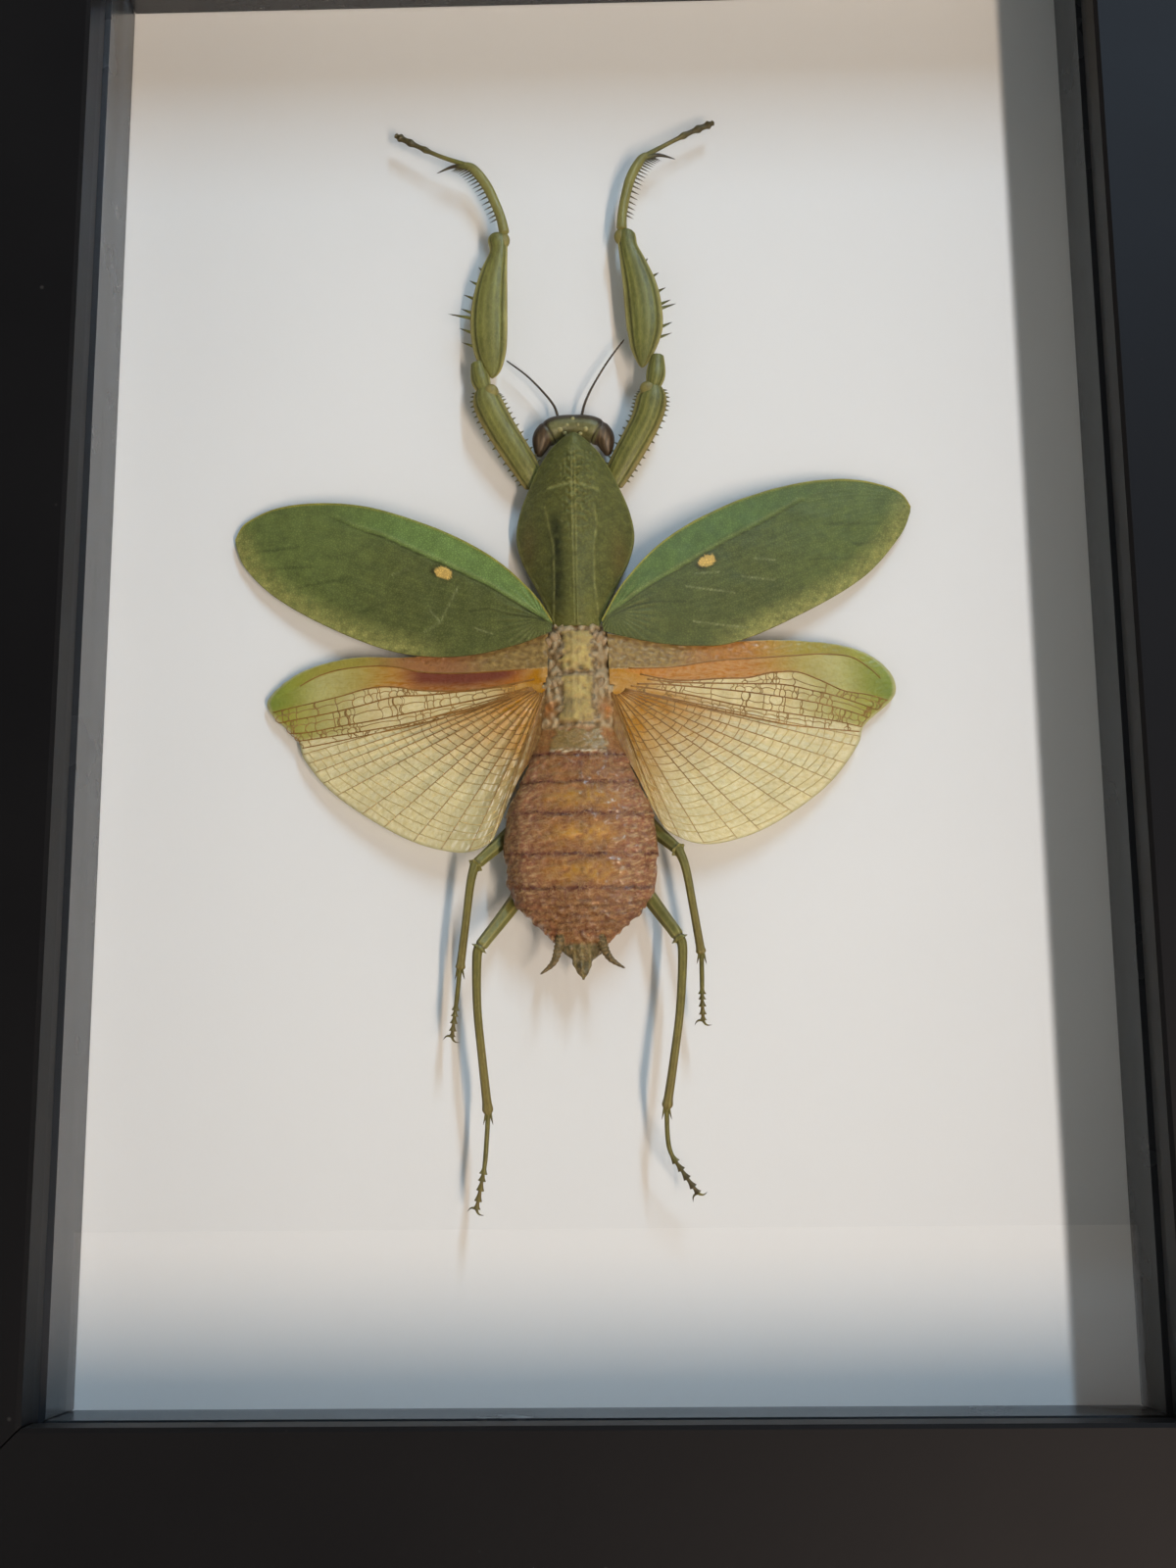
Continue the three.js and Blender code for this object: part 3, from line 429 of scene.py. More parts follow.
def chitin(name, tones, layers=(), grain=0.9, net=0.0, netSize=0.45, depth=0.05, squiggle=0.0, squiggleSize=1.2,
           squiggleTint="#c0a878", roughness=(0.4, 0.55), wet=0.0, coat=0.0, shine=0.3, alpha=None, clear=1.0,
           gloss=None, mottle=(0.8, 1.12), stretch=(1, 1, 1)):
    # Insect skin: two tones mixed by a noise of the grain size, a tint for each named field, a slow mottle, then
    # pale crinkled lines where a noise crosses its middle value, and a net of fine cells. Sizes are in mm. Where
    # the gloss field is 1 the skin is wet: smooth, with a clear coat.
    base = chitinBase
    material, tree = newMaterial(name)
    where = addNode(tree, "TexCoord").outputs["Object"]
    laid = addNode(tree, "Mapping", {"Vector": where, "Scale": stretch})
    cloud, slow, damp, crinkle = (
        addNode(tree, "TexNoise", {"Vector": laid, "Scale": 1 / (size * mm), "Detail": detail, "Roughness": 0.6,
                                   "Distortion": twist})
        for size, detail, twist in ((grain, 4.0, 0.0), (grain * 5, 4.0, 0.0), (grain * 2, 4.0, 0.0),
                                    (squiggleSize, 5.0, 1.5)))
    cells = addNode(tree, "TexVoronoi", {"Vector": laid, "Scale": 1 / (netSize * mm)}, feature="DISTANCE_TO_EDGE")
    crossing = addNode(tree, "Math", {0: crinkle, 1: 0.5, 2: base["lineWidth"]}, operation="COMPARE")
    shares = {key: addNode(tree, "Attribute", attribute_name=key).outputs["Fac"]
              for key in [*dict(layers), *filter(None, (gloss, alpha))]}
    # Each level takes a value from one range to another
    levels = dict(tone=(cloud, *base["tones"], 0.0, 1.0), mottle=(slow, *base["tones"], *mottle),
                  lines=(crossing, 0.0, 1.0, 0.0, squiggle),
                  net=(cells, *base["walls"], 1.0 - net, 1.0 + base["netLight"] * net),
                  walls=(cells, *base["walls"], 0.0, 1.0), dull=(cloud, 0.0, 1.0, *roughness),
                  damp=(damp, *base["damp"], 0.0, wet))
    if gloss:
        levels["strength"] = (shares[gloss], 0.0, 1.0, 1.0, base["smoothing"])
        levels["coat"] = (shares[gloss], 0.0, 1.0, 0.0, coat)
    if alpha:
        levels["alpha"] = (shares[alpha], 0.0, 1.0, 1.0, clear)
    ends = ("Value", "From Min", "From Max", "To Min", "To Max")
    levels = {key: addNode(tree, "MapRange", dict(zip(ends, row))) for key, row in levels.items()}
    # The colour starts as one tone. A step either mixes in a tint or multiplies by a level.
    colour = srgb(tones[0])
    for share, tint in ((levels["tone"], tones[1]), *((shares[key], tint) for key, tint in layers),
                        (levels["mottle"], None), (levels["lines"], squiggleTint), (levels["net"], None)):
        if tint:
            colour = addNode(tree, "Mix", {"Factor": share, "A": colour, "B": srgb(tint)}, data_type="RGBA")
        else:
            colour = addNode(tree, "VectorMath", {0: colour, "Scale": share}, operation="SCALE")
    smooth = levels.get("strength", 1.0)
    relief = {}
    for height, strength, rise in ((levels["walls"], 1.0, base["wallHeight"] * depth), (cloud, smooth, depth),
                                   (crinkle, smooth, base["lineHeight"] * depth * squiggle)):
        inputs = {"Height": height, "Strength": strength, "Distance": rise * mm}
        relief = {"Normal": addNode(tree, "Bump", inputs | relief)}
    rough = addNode(tree, "Mix", {"Factor": levels["damp"], "A": levels["dull"], "B": base["dampRoughness"]})
    if gloss:
        rough = addNode(tree, "Mix", {"Factor": shares[gloss], "A": rough, "B": base["wetRoughness"]})
    sockets = {"Base Color": colour, "Roughness": rough, "IOR": 1.55, "Specular IOR Level": shine,
               "Coat Weight": levels.get("coat", coat), "Coat Roughness": 0.1}
    if alpha:
        sockets["Alpha"] = levels["alpha"]
    finishMaterial(tree, sockets | relief)
    return material


def droop(place, hinge, root, tip, span):
    # A wing falls from root to tip height with the 0.8th power of its distance beyond the hinge, over its span
    beyond = np.abs(place[..., 0] - midline(place[..., 1])) - hinge
    return root + (tip - root) * np.clip(beyond / span, 0, 1) ** 0.8


foreWings = {
    "fall": dict(hinge=4.5, root=8.6, tip=1.2, span=52),
    "tints": [("ribs", "#8c8f55"), ("streaks", "#424a22"), ("tail", "#a8a55e"), ("scratches", "#a3a578"),
              ("halo", "#454524"), ("spot", "#e2bb66"), ("second", "#3f4120"), ("ridge", "#9a9a5c"),
              ("vein", "#3c4020"), ("rim", "#aaa044")],
    "left": dict(
        outward=-1, tones=("#585e2e", "#646a38"), distal="#6b773e", costal="#77904c",
        front=[(-6.9, 3.0), (-10.2, 8.1), (-17.0, 14.6), (-26.9, 20.3), (-39.2, 24.6), (-50.6, 25.1),
               (-57.3, 22.7), (-59.3, 19.8)],
        rear=[(-7.0, 1.3), (-13.1, -0.6), (-22.0, -1.9), (-32.3, -0.6), (-43.5, 4.2), (-52.4, 9.7), (-57.5, 14.9),
              (-59.2, 18.9)],
        vein=[(-8.3, 3.4), (-17.2, 9.4), (-23.3, 12.8), (-28.5, 15.5), (-34.8, 18.9), (-39.3, 20.6),
              (-44.5, 23.4)],
        second=[(-8.2, 3.0), (-9.2, 3.5), (-13.9, 4.5), (-17.2, 5.6), (-20.2, 5.3)], spot=(-24.5, 12.0),
        streaks=[[(-55.6, 13.9), (-52.5, 14.3), (-46.0, 14.3)], [(-50.7, 10.5), (-46.5, 11.2), (-40.3, 11.9)],
                 [(-49.6, 7.1), (-41.8, 8.6)], [(-43.6, 4.9), (-36.4, 6.6)], [(-56.5, 17.2), (-48.5, 17.8)]],
        scratches=[[(-24.9, 3.8), (-22.0, 9.6)], [(-27.6, 2.3), (-24.9, 3.8), (-26.6, 5.8)],
                   [(-16.5, 1.4), (-19.6, 2.6)], [(-33.0, 12.1), (-30.3, 12.9)]]),
    "right": dict(
        outward=1, tones=("#52592b", "#5d6432"), distal="#636f38", costal="#61763c",
        front=[(0.9, 3.0), (4.7, 9.8), (11.5, 17.1), (21.4, 23.1), (32.2, 26.9), (41.5, 28.0), (49.0, 26.4),
               (51.4, 23.6)],
        rear=[(1.2, 1.2), (7.8, -0.1), (14.6, -0.7), (22.5, 0.2), (34.0, 5.6), (43.4, 11.6), (49.4, 18.5),
              (51.3, 22.6)],
        vein=[(2.6, 4.4), (8.6, 8.9), (15.3, 13.1), (20.8, 16.6), (27.0, 20.1), (33.4, 24.0)],
        second=[(2.0, 3.3), (2.6, 3.8), (6.5, 5.7), (10.0, 6.3), (14.4, 6.4)], spot=(17.8, 13.3),
        streaks=[[(36.9, 20.1), (46.0, 20.4)], [(41.6, 16.8), (49.3, 17.5)], [(34.5, 14.0), (43.6, 14.6)]],
        scratches=[[(15.8, 11.1), (19.8, 11.5)], [(23.4, 10.8), (28.8, 10.4)], [(25.5, 13.9), (28.9, 13.7)],
                   [(14.5, 8.9), (22.1, 8.1)], [(15.5, 3.2), (24.0, 2.4)]]),
}


def foreWing(side):
    # A sheet between its front and its rear edge, arched by the product of two half sines and drooping outwards.
    # The bell-shaped main vein, folds that fan out from the hinge and long ribs are raised a little.
    wing = foreWings[side]
    outward = wing["outward"]
    along, across = grid(300, 80)
    front, rear = curveThrough(wing["front"], along), curveThrough(wing["rear"], along)
    place = front + (rear - front) * across[..., None]
    u, v = place[..., 0], place[..., 1]
    off = distanceTo(place, wing["vein"]) * outward
    rim, tail = (np.abs(distanceTo(place, curveThrough(wing[edge], np.linspace(0, 1, 80))))
                 for edge in ("front", "rear"))
    arch = 0.7 * np.sin(np.pi * along) * np.sin(np.pi * across)
    height = droop(place, **foreWings["fall"]) + arch
    hingeU, hingeV = wing["vein"][0]
    reach = np.hypot(u - hingeU, v - hingeV)
    strong = fade(reach, 46, 30)
    height = height + 0.16 * bump(off, 0.4, 0.3) * strong - 0.12 * bump(off, -0.15, 0.25) * strong
    height = height + 0.1 * bump(rim, 0, 0.35) + 0.05 * uneven(place, 6.0)
    turn = np.arctan2(v - hingeV, (u - hingeU) * outward)
    folds = np.sin(turn * 34) * fade(reach, 11, 3)
    ribs = np.cos(2 * np.pi * across * 9) ** 8 * fade(reach, 8, 16) * (off < -1)
    height = height + 0.06 * folds + 0.03 * ribs
    torn = 0.5 + 0.5 * uneven(place, 1.4)
    streaks = np.max([stroke(place, route, 0.5) for route in wing["streaks"]], 0) * (0.25 + 0.4 * torn)
    scratches = np.max([stroke(place, route, 0.22) for route in wing["scratches"]], 0) * (0.2 + 0.5 * torn)
    # The pale spot and the dark scar in it are ovals, turned 25 degrees
    tilt = math.radians(-25 * outward)
    du, dv = u - wing["spot"][0], v - wing["spot"][1]
    longWay, shortWay = du * math.cos(tilt) - dv * math.sin(tilt), du * math.sin(tilt) + dv * math.cos(tilt)
    spot = np.hypot(longWay / 1.55, shortWay / 0.95) + 0.12 * uneven(place, 1.0)
    scar = np.hypot((longWay + 1.5) / 0.75, (shortWay + 0.3) / 0.6) + 0.2 * uneven(place, 1.2)
    halfThickness = 0.15
    sheet = leaf(place, height + halfThickness, height - halfThickness, rim=fade(rim, 0.34, 0.14),
                 costal=fade(off, -0.2, 0.2) * fade(reach, 46, 24), distal=fade(reach, 22, 42),
                 vein=stroke(place + [0, 0.1], wing["vein"], 0.22) * strong * 0.85,
                 ridge=bump(off, 0.5, 0.22) * strong * 0.35, ribs=ribs * 0.12 + 0.3 * np.clip(folds, 0, 1),
                 second=stroke(place, wing["second"], 0.28) * 0.8, streaks=streaks, scratches=scratches,
                 halo=0.6 * fade(spot, 1.7, 1.0) + 0.8 * fade(scar, 1.1, 0.7), spot=fade(spot, 1.02, 0.9),
                 tail=fade(tail, 4.5, 0.2) * fade(reach, 14, 24) * (0.45 + 0.45 * torn))
    layers = [(key, wing[key]) for key in ("distal", "costal")] + foreWings["tints"]
    # Forewing skin: leathery chitin, olive green, netted with fine veins and slightly shiny
    look = chitin("olive green wing leather", wing["tones"], layers, grain=0.38, net=0.3, netSize=0.4,
                  depth=0.045, roughness=(0.45, 0.6), wet=0.25, shine=0.2)
    makePiece("forewing_" + side, [sheet], [look])


hindWings = {
    "fall": dict(hinge=5.5, root=7.6, tip=1.5, span=45),
    "membrane": ("#f0e1a6", "#f8edbe"),
    "veins": {"brown wing vein": ("#845a22", "#966a2e"), "tan cross-vein": ("#8a642a", "#9a7438")},
    "fadedVein": "#d2bd82",
    # The near-white tint paints glints as streaks on the slack folds, and the grey-olive tint after the folds'
    # brown paints the shade between them: painted highlights and painted shade
    "tints": [("net", "#d2b87c"), ("gold", "#b67c14"), ("folds", "#7a5632"), ("dim", "#98905e"),
              ("ahead", "#8d7444"), ("mottle", "#c4a868"), ("dapple", "#6c4f2e"), ("pink", "#94644a"),
              ("orange", "#bf7a26"), ("maroon", "#7c4230"), ("green", "#a3a040"), ("deep", "#718a38"),
              ("glass", "#fff8dc"), ("rim", "#cfc894")],
    # How strong the pink, maroon and orange of the front strips are, and how strong the painted glint streaks and
    # painted shade on the slack folds are
    "left": dict(
        outward=-1, pink=0.75, maroon=1.0, orange=0.25, slack=1.0, root=(-7.8, -6.9),
        outline=[(-7.6, 1.2), (-20.0, -0.6), (-30.0, -1.4), (-39.5, -1.1), (-47.6, -3.0), (-52.8, -6.9),
                 (-52.6, -9.8), (-48.2, -14.2), (-46.9, -17.6), (-42.6, -22.8), (-35.7, -27.9), (-28.4, -31.8),
                 (-21.4, -33.5), (-17.2, -32.3), (-15.6, -29.8), (-12.5, -22.5), (-9.3, -17.0), (-8.1, -9.0)],
        fan=[(-46.6, -16.5), (-46.3, -18.2), (-45.5, -20.0), (-43.9, -21.6), (-41.5, -23.6), (-37.3, -26.6),
             (-33.8, -29.0), (-29.1, -31.4), (-24.7, -32.9), (-20.3, -33.3), (-17.2, -32.0), (-15.9, -29.8)],
        fronts=[[(-11.1, -4.4), (-21.4, -4.5), (-27.9, -4.0), (-31.9, -3.0), (-35.8, -2.6), (-41.1, -2.9),
                 (-45.0, -3.9), (-47.9, -5.4)],
                [(-9.8, -6.2), (-14.8, -6.9), (-20.0, -7.5), (-24.8, -7.3), (-29.0, -6.9), (-31.3, -6.4),
                 (-34.2, -6.1), (-37.4, -6.4), (-40.5, -7.2), (-43.7, -7.9), (-48.9, -8.9), (-52.3, -9.6)],
                [(-12.6, -6.9), (-16.9, -7.2), (-26.6, -7.8), (-32.4, -7.9), (-38.4, -9.2), (-43.6, -10.2),
                 (-48.8, -11.0), (-51.2, -11.4)],
                [(-10.6, -7.4), (-13.2, -8.0), (-21.1, -9.3), (-28.9, -10.5), (-35.7, -11.6), (-40.9, -12.3),
                 (-46.2, -13.1), (-49.4, -13.2)],
                [(-11.1, -8.1), (-18.2, -10.0), (-24.5, -11.2), (-30.5, -12.4), (-35.7, -13.1), (-42.2, -13.9),
                 (-47.9, -14.5)],
                [(-13.4, -8.9), (-18.7, -10.4), (-26.6, -12.2), (-35.7, -13.8), (-43.5, -15.1), (-47.3, -15.7)]]),
    "right": dict(
        outward=1, pink=0.15, maroon=0.0, orange=0.7, slack=0.5, root=(2.1, -7.4),
        outline=[(1.7, 1.1), (13.0, -0.2), (20.0, 0.2), (30.2, 0.7), (40.2, -0.2), (46.2, -3.4), (47.6, -8.0),
                 (42.6, -13.0), (41.3, -16.4), (37.0, -22.2), (31.1, -27.0), (24.4, -30.8), (17.3, -32.6),
                 (12.3, -31.4), (9.6, -28.9), (6.0, -21.5), (3.0, -16.4), (2.4, -9.0)],
        fan=[(41.9, -15.0), (41.2, -16.6), (39.2, -19.3), (36.8, -22.0), (33.8, -24.9), (30.6, -27.3),
             (25.4, -30.3), (21.8, -31.6), (16.6, -32.3), (12.8, -31.4), (10.2, -29.6), (8.5, -25.9)],
        fronts=[[(5.1, -4.5), (12.1, -4.1), (18.4, -3.0), (24.7, -2.4), (30.5, -1.9), (35.7, -1.5), (40.4, -1.8),
                 (43.4, -3.5), (45.4, -5.4)],
                [(6.9, -5.4), (12.6, -6.3), (19.9, -5.8), (24.1, -5.6), (27.8, -4.7), (31.9, -4.5), (35.6, -5.8),
                 (39.4, -7.5), (43.3, -8.1), (46.4, -9.0)],
                [(8.0, -6.2), (12.6, -6.6), (22.5, -6.6), (29.3, -6.6), (34.2, -7.5), (38.9, -8.6), (44.6, -10.6)],
                [(6.4, -7.0), (10.8, -7.0), (19.9, -7.6), (26.7, -8.3), (33.6, -9.3), (39.3, -10.6),
                 (43.2, -11.9)],
                [(5.4, -7.4), (9.5, -7.8), (16.2, -8.9), (23.7, -10.4), (31.5, -11.5), (37.9, -12.5),
                 (42.0, -13.4)],
                [(6.6, -8.2), (10.2, -9.1), (17.2, -10.7), (25.0, -12.2), (30.2, -13.2), (35.3, -13.7),
                 (41.7, -14.2)]]),
}


def veinTubes(routes, radius, sides, lift, look=1, **fields):
    # Many veins at once, lifted a little off the sheet: each is a row of [u, v, w] as long as the others
    centre = np.array(routes)
    centre[..., 2] += lift
    thin = np.broadcast_to(radius, centre.shape[:-1])
    return tube(centre, thin, thin, sides, look=look, **fields)


def hindWing(side):
    # A sheet of rays from the root to the outline. A place is a share of the outline and k, the share of its ray.
    # Distances behind front veins 0, 1 and 4 part the strips, and those from the middle grade them outwards.
    wing = hindWings[side]
    root = np.array(wing["root"])
    outward = wing["outward"]
    dense = np.linspace(0, 1, 3001)
    rimPoints = curveThrough(wing["outline"], dense)
    fan = np.sort([dense[np.hypot(*(rimPoints - end).T).argmin()] for end in wing["fan"]])
    fan = np.append(fan, 1.0)

    def flatHeight(place):
        # The wing's height without its pleats
        return droop(place, **hindWings["fall"])

    def surface(share, k):
        # Root + (outline - root) · k. Between one fan vein and the next the membrane sinks into a pleat.
        spread = root + (curveThrough(wing["outline"], share) - root) * k[..., None]
        sector = np.interp(share, fan, np.arange(len(fan))) % 1
        pleated = fade(share, fan[0] - 0.02, fan[0] + 0.03) * fade(k, 0.02, 0.25) * (1 - 0.55 * fade(k, 0.6, 1))
        w = flatHeight(spread) + 0.3 * pleated * (np.abs(2 * sector - 1) - 0.5)
        return np.concatenate([spread, w[..., None]], -1)

    share, k = grid(420, 60, 0.015)
    points = surface(share, k)
    place = points[..., :2]
    crinkle = uneven(place, 1.3)
    reach = np.abs(place[..., 0] - midline(place[..., 1]))
    behindA, behindB, behindE = (-distanceTo(place, wing["fronts"][i]) * outward for i in (0, 1, 4))
    patchy = 0.5 + 0.5 * uneven(place, 3.0)
    grains = 0.5 + 0.5 * uneven(place, 0.9)
    height = points[..., 2] + 0.08 * crinkle * fade(behindA, -0.3, -1.2)
    ahead, stripe = fade(behindA, 0.3, -0.3), fade(behindA, -0.2, 0.2) * fade(behindB, 0.3, -0.1)
    front = fade(behindE, 0.6, -0.6)
    net = fade(behindB, 0.0, 0.4) * front
    folds = fade(share, fan[-2] - 0.01, fan[-2] + 0.03)
    inner = fade(share, 0.86, 0.9)
    creases = (0.5 + 0.5 * np.sin(share * 420 + 2 * np.sin(k * 9))) * folds
    # Bright streaks along the rays on the slack folds, with darker membrane between them: painted glints and
    # painted shade
    rays = (0.5 + 0.5 * np.cos(share * 500 + 3 * np.sin(k * 7))) ** 3 * fade(uneven(place, 1.8), -0.1, 0.4)
    slack = fade(share, fan[-6], fan[-4]) * fade(k, 0.3, 0.55) * wing["slack"] * (1 - inner)
    glass = rays * slack
    fromTip = reach + 5.0 * fade(behindB, 1, -1)
    gold = np.maximum((1 - front) * fade(k, 0.7, 0.15), fade(reach, 17, 9) * (1 - ahead)) * (0.8 + 0.2 * patchy)
    orange = np.maximum(stripe * fade(reach, 6, 10), wing["orange"] * ahead * fade(reach, 14, 24))
    halfThickness = 0.08
    sheet = leaf(
        place, height + halfThickness, height - halfThickness,
        clear=(0.5 * front * (1 - ahead) + fade(behindE, -0.6, 0.6)) * (1 - 0.8 * gold),
        net=net * (0.3 + 0.3 * patchy), green=front * fade(fromTip, 31, 42) * (0.65 + 0.35 * fade(reach, 40, 48)),
        deep=front * fade(fromTip, 46, 58) * 0.85, ahead=ahead, pink=ahead * box(reach, 17, 33, 4) * wing["pink"],
        maroon=wing["maroon"] * stripe * box(reach, 9, 27.5, 3) * (0.45 + 0.55 * fade(behindB, -0.2, -1.8)),
        orange=orange * fade(reach, 43, 31) * (0.8 + 0.2 * grains), gold=gold,
        # Between the glint streaks the slack folds get a painted shade
        folds=(0.7 * folds + 0.3 * creases) * np.maximum(fade(k, 1.15, 0.6), inner), dim=slack * (1 - rays) * 0.45,
        mottle=fade(grains, 0.45, 0.85) * (0.4 * ahead + 0.25 * (1 - front)),
        dapple=fade(crinkle, 0.1, -0.7) * ahead * 0.5, glass=glass, rim=fade(k, 0.985, 0.994) * (1 - folds),
        glints=np.maximum(glass, 0.4 * fade(grains, 0.62, 0.75)))
    # Front veins, then the long veins of the fan, which fade towards the rim
    t = np.linspace(0, 1, 44)
    routes = [curveThrough(route, t) for route in wing["fronts"]]
    fronts = [np.concatenate([route, flatHeight(route)[:, None]], -1) for route in routes]
    longVeins = [surface(np.full(len(t), s), 0.06 + 0.935 * t) for s in fan[:-1]]
    parts = [sheet, veinTubes(fronts, 0.13 - 0.05 * t, 6, 0.1),
             veinTubes(longVeins, 0.11 - 0.05 * t, 6, 0.08, faint=0.35 * t[:, None])]
    # Cross-veins: rungs between the fan's veins, then between the front veins, some of those joined by a bent one
    even = np.linspace(0, 1, 7)
    rows, faint = [], []
    for low, high in zip(fan[:-2], fan[1:-1]):
        length = np.hypot(*(curveThrough(wing["outline"], low) - root))
        steps = np.arange(0.16, 0.98, 1.5 / length)
        steps = steps + seeded.uniform(-0.3, 0.3, len(steps)) / length
        for step in steps:
            slant = seeded.uniform(-0.25, 0.25) / length
            rows.append(surface(np.linspace(low, high, 7), step + slant * np.linspace(-1, 1, 7)))
            faint.append(fade(step, 0.4, 0.75) * 0.95)
    for first, second in zip(fronts[1:-1], fronts[2:]):
        ends = curveThrough(second, np.linspace(0, 1, 400))
        starts = curveThrough(first, np.sort(seeded.uniform(0.03, 0.99, 34)))
        before = None
        gap = np.hypot(starts[:, None, 0] - ends[None, :, 0], starts[:, None, 1] - ends[None, :, 1])
        for start, near, far in zip(starts, gap.argmin(1), gap.min(1)):
            if 0.35 < far < 4.5:
                bend = np.array([seeded.uniform(-0.45, 0.45), 0, 0]) * np.sin(2 * np.pi * even)[:, None]
                rung = start + (ends[near] - start) * even[:, None] + bend
                rows.append(rung)
                faint.append(0.1)
                if before is not None and far > 1.3:
                    joint = before + (rung[3] - before) * even[:, None]
                    joint[:, 1] += 0.25 * np.sin(np.pi * even) * (-1) ** len(rows)
                    rows.append(joint)
                    faint.append(0.25)
                before = rung[3]
    parts.append(veinTubes(rows, 0.075, 4, 0.09, look=2, faint=np.array(faint)[:, None, None]))
    # Hind wing skin: thin pleated chitin like cellophane, cream to gold, that lets the board show through
    membrane = chitin("cream wing membrane", hindWings["membrane"], hindWings["tints"], grain=0.7, netSize=1.0,
                      depth=0.15, roughness=(0.25, 0.4), shine=0.25, coat=0.6, mottle=(0.92, 1.04),
                      alpha="clear", clear=0.72, gloss="glints")
    # Veins: thicker brown chitin, smooth and slightly shiny, paler where they fade
    veins = [chitin(name, tones, [("faint", hindWings["fadedVein"])], roughness=(0.35, 0.5))
             for name, tones in hindWings["veins"].items()]
    makePiece("hindwing_" + side, parts, [membrane, *veins])


shieldShape = dict(
    stations=[  # v, half width, height of the ridge, height of the edge
        (34.8, 0.7, 8.2, 7.7), (33.9, 2.1, 8.7, 7.2), (31.9, 4.1, 9.2, 6.6), (29.2, 5.9, 9.7, 6.0),
        (26.4, 7.3, 9.9, 5.2), (22.6, 8.9, 9.8, 4.1), (18.5, 9.6, 9.6, 3.6), (14.3, 8.7, 9.5, 4.3),
        (10.3, 6.9, 9.4, 5.4), (6.6, 5.2, 9.3, 6.5), (4.0, 4.2, 9.2, 7.0), (2.2, 3.6, 8.9, 7.1)],
    thickness=0.45, coreDepth=4.2, coreShare=0.42,
    groove=[(-7.3, 25.3), (-3.4, 25.7), (0.5, 24.9)],
    sideRidges=[[(-8.1, 22.2), (-7.5, 19.0), (-6.7, 15.6), (-6.6, 9.0), (-6.9, 3.3)],
                [(-0.1, 22.1), (0.3, 19.0), (-0.2, 15.5), (-0.1, 8.9), (0.5, 4.0)]],
    tones=("#58592b", "#646532"),
    tints=[("low", "#767338"), ("wrinkles", "#7c7d42"), ("dark", "#2e3219"), ("patch", "#6f5a32"),
           ("sides", "#9a9858"), ("groove", "#96965a"), ("median", "#a3a060"), ("rim", "#8c8a4a")])


def shield():
    # A leaf whose roof falls from the ridge to the edge with the 1.7th power of the share s of its half width, and
    # whose underside bulges into the thorax's core by its depth times the root of 1 - (s / core share)²
    shape = shieldShape
    t = np.linspace(0, 1, 240)
    v, halfWidth, ridge, edge = curveThrough(shape["stations"], t).T[..., None]
    s = np.sin(np.linspace(-1, 1, 150) * np.pi / 2)
    off = s * halfWidth
    u = midline(v) + off
    place = np.stack([u, np.broadcast_to(v, u.shape)], -1)
    rowV = place[..., 1]
    roof = edge + (ridge - edge) * (1 - np.abs(s) ** 1.7)
    core = shape["coreDepth"] * np.sin(np.pi * np.clip(t, 0.09, 0.91))[:, None]
    under = roof - shape["thickness"] - core * np.sqrt(np.clip(1 - (s / shape["coreShare"]) ** 2, 0, 1))
    fromEdge = (1 - np.abs(s)) * halfWidth
    long = fade(rowV, 33, 31) * fade(rowV, 2.0, 3)
    wrinkles = uneven(place, 1.1)
    torn = 0.5 + 0.5 * uneven(place, 1.8)
    groove = stroke(place, shape["groove"], 0.5)
    sides = np.max([stroke(place, route, 0.32) for route in shape["sideRidges"]], 0)
    twoRidges = bump(np.abs(off), 0.26, 0.14) * long
    relief = 0.12 * twoRidges - 0.1 * bump(off, 0, 0.12) * long - 0.15 * groove + 0.1 * sides
    crumpled = bump(off, 0.6, 2.6) * fade(rowV, 14, 22) * fade(rowV, 33, 29)
    relief = relief + 0.1 * bump(fromEdge, 0.25, 0.2) + (0.035 + 0.2 * crumpled) * wrinkles
    leftDark = bump(off, -2.9, 1.1) * fade(rowV, 23, 18) * fade(rowV, 3, 7)
    patches = bump(off, -7.6, 1.3) * bump(rowV, 16, 4) + bump(off, 7.2, 1.4) * bump(rowV, 14, 4)
    sheet = leaf(place, roof + relief, under, median=twoRidges * (0.2 + 0.5 * torn * fade(rowV, 6, 16)),
                 groove=groove * 0.6, sides=sides * (0.15 + 0.5 * torn), rim=fade(fromEdge, 0.5, 0.1) * 0.6,
                 dark=leftDark * (0.65 + 0.35 * torn), patch=patches * 0.45,
                 wrinkles=fade(wrinkles, 0.2, 0.8) * (0.3 + 0.5 * crumpled), low=fade(rowV, 9, 4) * 0.5)
    # Shield: stiff leaf-like chitin, dark olive with paler lines and a satin shine
    look = chitin("olive shield chitin", shape["tones"], shape["tints"], grain=0.4, net=0.2, netSize=0.4,
                  depth=0.06, roughness=(0.45, 0.6), wet=0.2, shine=0.2)
    makePiece("mantis_shield", [sheet], [look])


